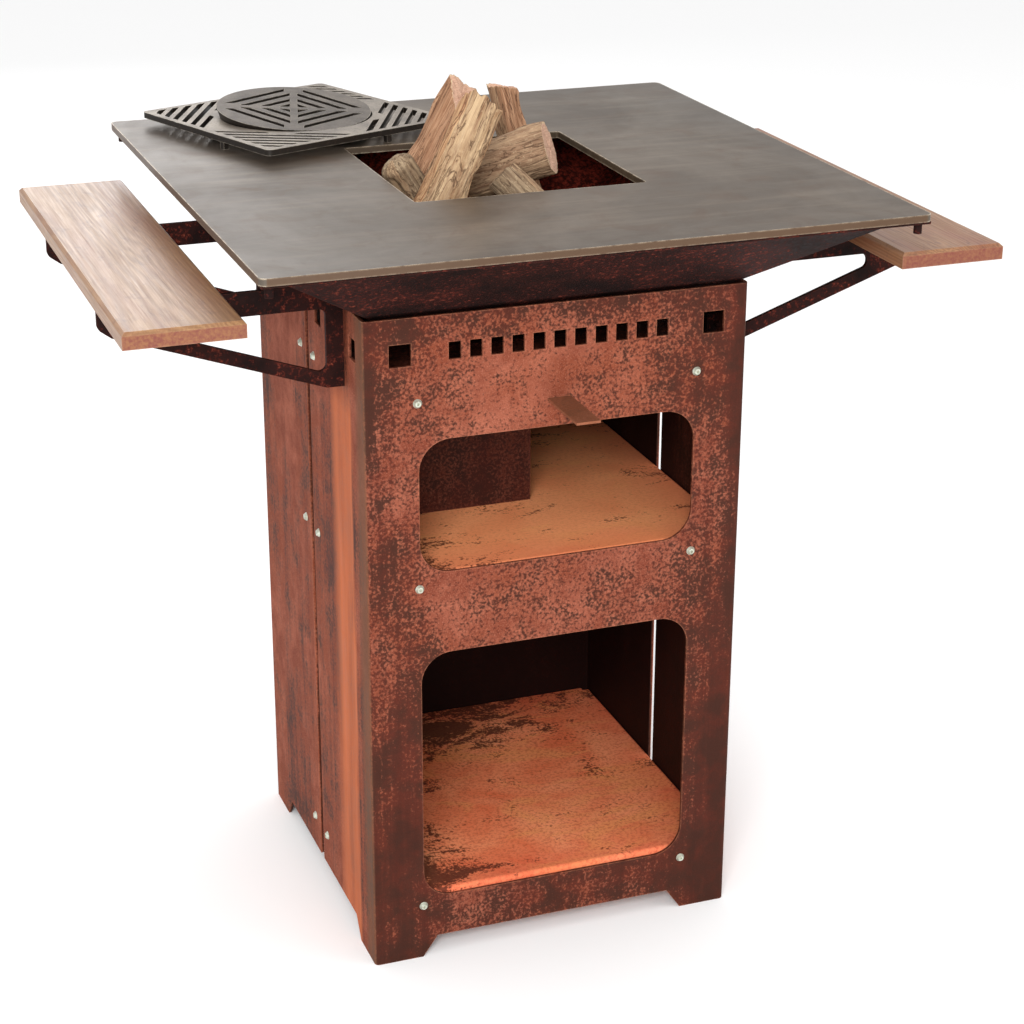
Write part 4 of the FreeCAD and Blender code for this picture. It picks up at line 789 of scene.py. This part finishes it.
def logSurface(number, name, log):
    # a grid of angle and length: a circle cut by flat split planes with softened corners, tapered and bent,
    # roughened by drawn-out noise, and closed at each end by rings that shrink to a middle point
    form, seeds = logShape, {key: seed + number for key, seed in logSeeds.items()}
    around, steps, capRings = form["around"], form["steps"], form["capRings"]
    low, high = (np.array(corner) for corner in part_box(name))
    foot = low + (high - low) * np.array(log["foot"])
    head = low + (high - low) * np.array(log["head"])
    axis = head - foot
    length = np.linalg.norm(axis)
    axis = axis / length
    side = np.cross(axis, (0, 0, 1.0)) if abs(axis[2]) < form["levelSide"] else np.cross(axis, (0, 1.0, 0))
    side = side / np.linalg.norm(side)
    lift = np.cross(side, axis)
    angle = np.linspace(0, 2 * np.pi, around, endpoint=False)[None, :]
    t = np.concatenate([np.zeros(capRings), np.linspace(0, 1, steps), np.ones(capRings)])[:, None]
    small, large = form["capShares"]
    shrink = np.concatenate([np.linspace(small, large, capRings), np.ones(steps),
                             np.linspace(large, small, capRings)])[:, None]
    isEnd = np.concatenate([np.ones(capRings), np.zeros(steps), np.ones(capRings)])[:, None] * np.ones_like(angle)
    span = length * t
    slow = roughness(wound(angle, t, span, form["slow"]) + number * form["apart"], seeds["slow"], 2)
    circle = np.full((len(t), around), 1.0)
    flat = circle.copy()
    for phi, depth in log["planes"]:
        facing, least = np.cos(angle - phi), form["leastFacing"]
        cutAt = (depth + form["wobble"] * slow) / np.maximum(facing, least)
        flat = np.where(facing > least, np.minimum(flat, cutAt), flat)
    power = form["softness"]
    soft = (circle ** -power + np.maximum(flat, form["leastFlat"]) ** -power) ** (-1 / power)
    bark = np.clip((flat - form["barkFrom"]) / form["barkOver"], 0, 1)
    ridge = 1 - np.abs(roughness(wound(angle, t, span, form["ridge"]), seeds["ridge"], 3))
    fibres = roughness(wound(angle, t, span, form["fibre"]), seeds["fibre"], 2)
    swell = soft * (1 + log.get("gnarl", form["gnarl"]) * slow)
    worn = bark * form["ridgeDepth"] * (1 - ridge)
    radius = log["radius"] * (swell - worn + (1 - bark) * form["fibreDepth"] * fibres)
    radius = radius * (1 - form["taper"] * t) * shrink
    bow = log["bend"] * np.sin(np.pi * t) * np.ones_like(angle)
    u, v = radius * np.cos(angle), radius * np.sin(angle)
    steep, start = form["endReach"]
    nearEnd = np.clip(np.abs(2 * t - 1) * steep - start, 0, 1)
    tilt = (u * log["lean"][0] + v * log["lean"][1]) * (2 * t - 1) * nearEnd
    pitch, rise = form["endPitch"]
    sawMarks = np.stack([u * pitch, v * pitch, rise * t * np.ones_like(angle)], -1)
    grain = form["endGrain"] * roughness(sawMarks, seeds["end"], 2) * isEnd
    teeth = np.stack([np.cos(angle) * form["teethPitch"] + 0 * t, np.sin(angle) * form["teethPitch"] + 0 * t,
                      np.full((len(t), around), number * form["teethApart"])], -1)
    steep, start = form["teethReach"]
    least, most = form["teethDepth"]
    nearTop = np.clip(t * steep - start, 0, 1) ** 2
    torn = -log["ragged"] * (least + most * roughness(teeth, seeds["teeth"], 3)) * nearTop
    knob = log.get("knob", 0) * log["radius"] * np.sqrt(1 - shrink ** 2) * (t > form["knobFrom"])
    spot = (foot[None, None, :] + (span * np.ones_like(angle) + tilt + grain + torn + knob)[..., None] * axis
            + (u + bow)[..., None] * side + v[..., None] * lift)
    along = np.stack([u, span * np.ones_like(angle) + number, v], -1)
    radial = np.clip(radius / (log["radius"] * np.maximum(soft, form["leastFlat"])), 0, 1)
    return spot, along, bark, isEnd, radial


def makeLog(number, name, log):
    spot, along, bark, isEnd, radial = logSurface(number, name, log)
    rows, around = spot.shape[:2]
    poles = [spot[0].mean(0), spot[-1].mean(0)]
    points = np.concatenate([spot.reshape(-1, 3), poles])
    i, j = np.meshgrid(np.arange(rows - 1), np.arange(around), indexing="ij")
    nextJ = (j + 1) % around
    quads = np.stack([i * around + j, i * around + nextJ, (i + 1) * around + nextJ, (i + 1) * around + j], -1)
    k = np.arange(around)
    startFan = np.stack([np.full(around, rows * around), (k + 1) % around, k], -1)
    top = (rows - 1) * around
    endFan = np.stack([np.full(around, rows * around + 1), top + k, top + (k + 1) % around], -1)
    mesh = bpy.data.meshes.new(name + "_wood")
    mesh.from_pydata(points.tolist(), [], quads.reshape(-1, 4).tolist() + startFan.tolist() + endFan.tolist())
    for label, kind, field, values, width in (
            ("along", "FLOAT_VECTOR", "vector", along, 3), ("bark", "FLOAT", "value", bark, 1),
            ("end", "FLOAT", "value", isEnd * log["sawn"], 1), ("radial", "FLOAT", "value", radial, 1)):
        values = values.reshape(-1, width)
        values = np.concatenate([values, values[[0, -1]]])
        mesh.attributes.new(label, kind, "POINT").data.foreach_set(field, values.astype(np.float32).reshape(-1))
    mesh.materials.append(logSkins[log["kind"]])
    mesh.polygons.foreach_set("use_smooth", [True] * len(mesh.polygons))
    mesh.update()
    wood = bpy.data.objects.new(name + "_wood", mesh)
    scene.collection.objects.link(wood)
    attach(wood, "firewood")
    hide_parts(name)


for number, (name, log) in enumerate(logs.items()):
    makeLog(number, name, log)
print("firewood stacked")


stageSettings = {
    "floorTone": (251, 251, 251), "floorRough": 0.9, "floorSpecular": 0.2, "floorReach": 60, "sky": 0.95,
    "lights": {
        "keyLight": {"place": (-1.9, -4.0, 2.7), "target": (0, 0, 0.5), "size": 1.6, "power": 170},
        "fillLight": {"place": (3.2, -2.6, 1.8), "target": (0, 0, 0.5), "size": 2.5, "power": 25},
        "topLight": {"place": (0.3, 1.2, 3.6), "target": (0, 0, 0.8), "size": 2.0, "power": 15},
        "sheenLight": {"place": (0.1, 5.2, 2.6), "target": (-0.4, 0, 0.95), "size": 1.6, "power": 32},
    },
}


def makeFloor():
    mesh = bpy.data.meshes.new("floor")
    far = stageSettings["floorReach"]
    mesh.from_pydata([(-far, -far, 0), (far, -far, 0), (far, far, 0), (-far, far, 0)], [], [(0, 1, 2, 3)])
    floor = bpy.data.objects.new("floor", mesh)
    scene.collection.objects.link(floor)
    material, _, shader, _ = newMaterial("floorPaint", specular=stageSettings["floorSpecular"])
    shader["Base Color"].default_value = tone(*stageSettings["floorTone"])
    shader["Roughness"].default_value = stageSettings["floorRough"]
    mesh.materials.append(material)


def makeLight(name, settings):
    place, target = Vector(settings["place"]), Vector(settings["target"])
    data = bpy.data.lights.new(name, "AREA")
    data.size = settings["size"]
    data.energy = settings["power"]
    light = bpy.data.objects.new(name, data)
    light.location = place
    light.rotation_euler = (target - place).to_track_quat("-Z", "Y").to_euler()
    light.visible_camera = False
    scene.collection.objects.link(light)


makeFloor()
for name, settings in stageSettings["lights"].items():
    makeLight(name, settings)
world = bpy.data.worlds.new("studio")
world.use_nodes = True
sky = world.node_tree.nodes["Background"].inputs
sky[0].default_value = (1, 1, 1, 1)
sky[1].default_value = stageSettings["sky"]
scene.world = world
print("stage lit")
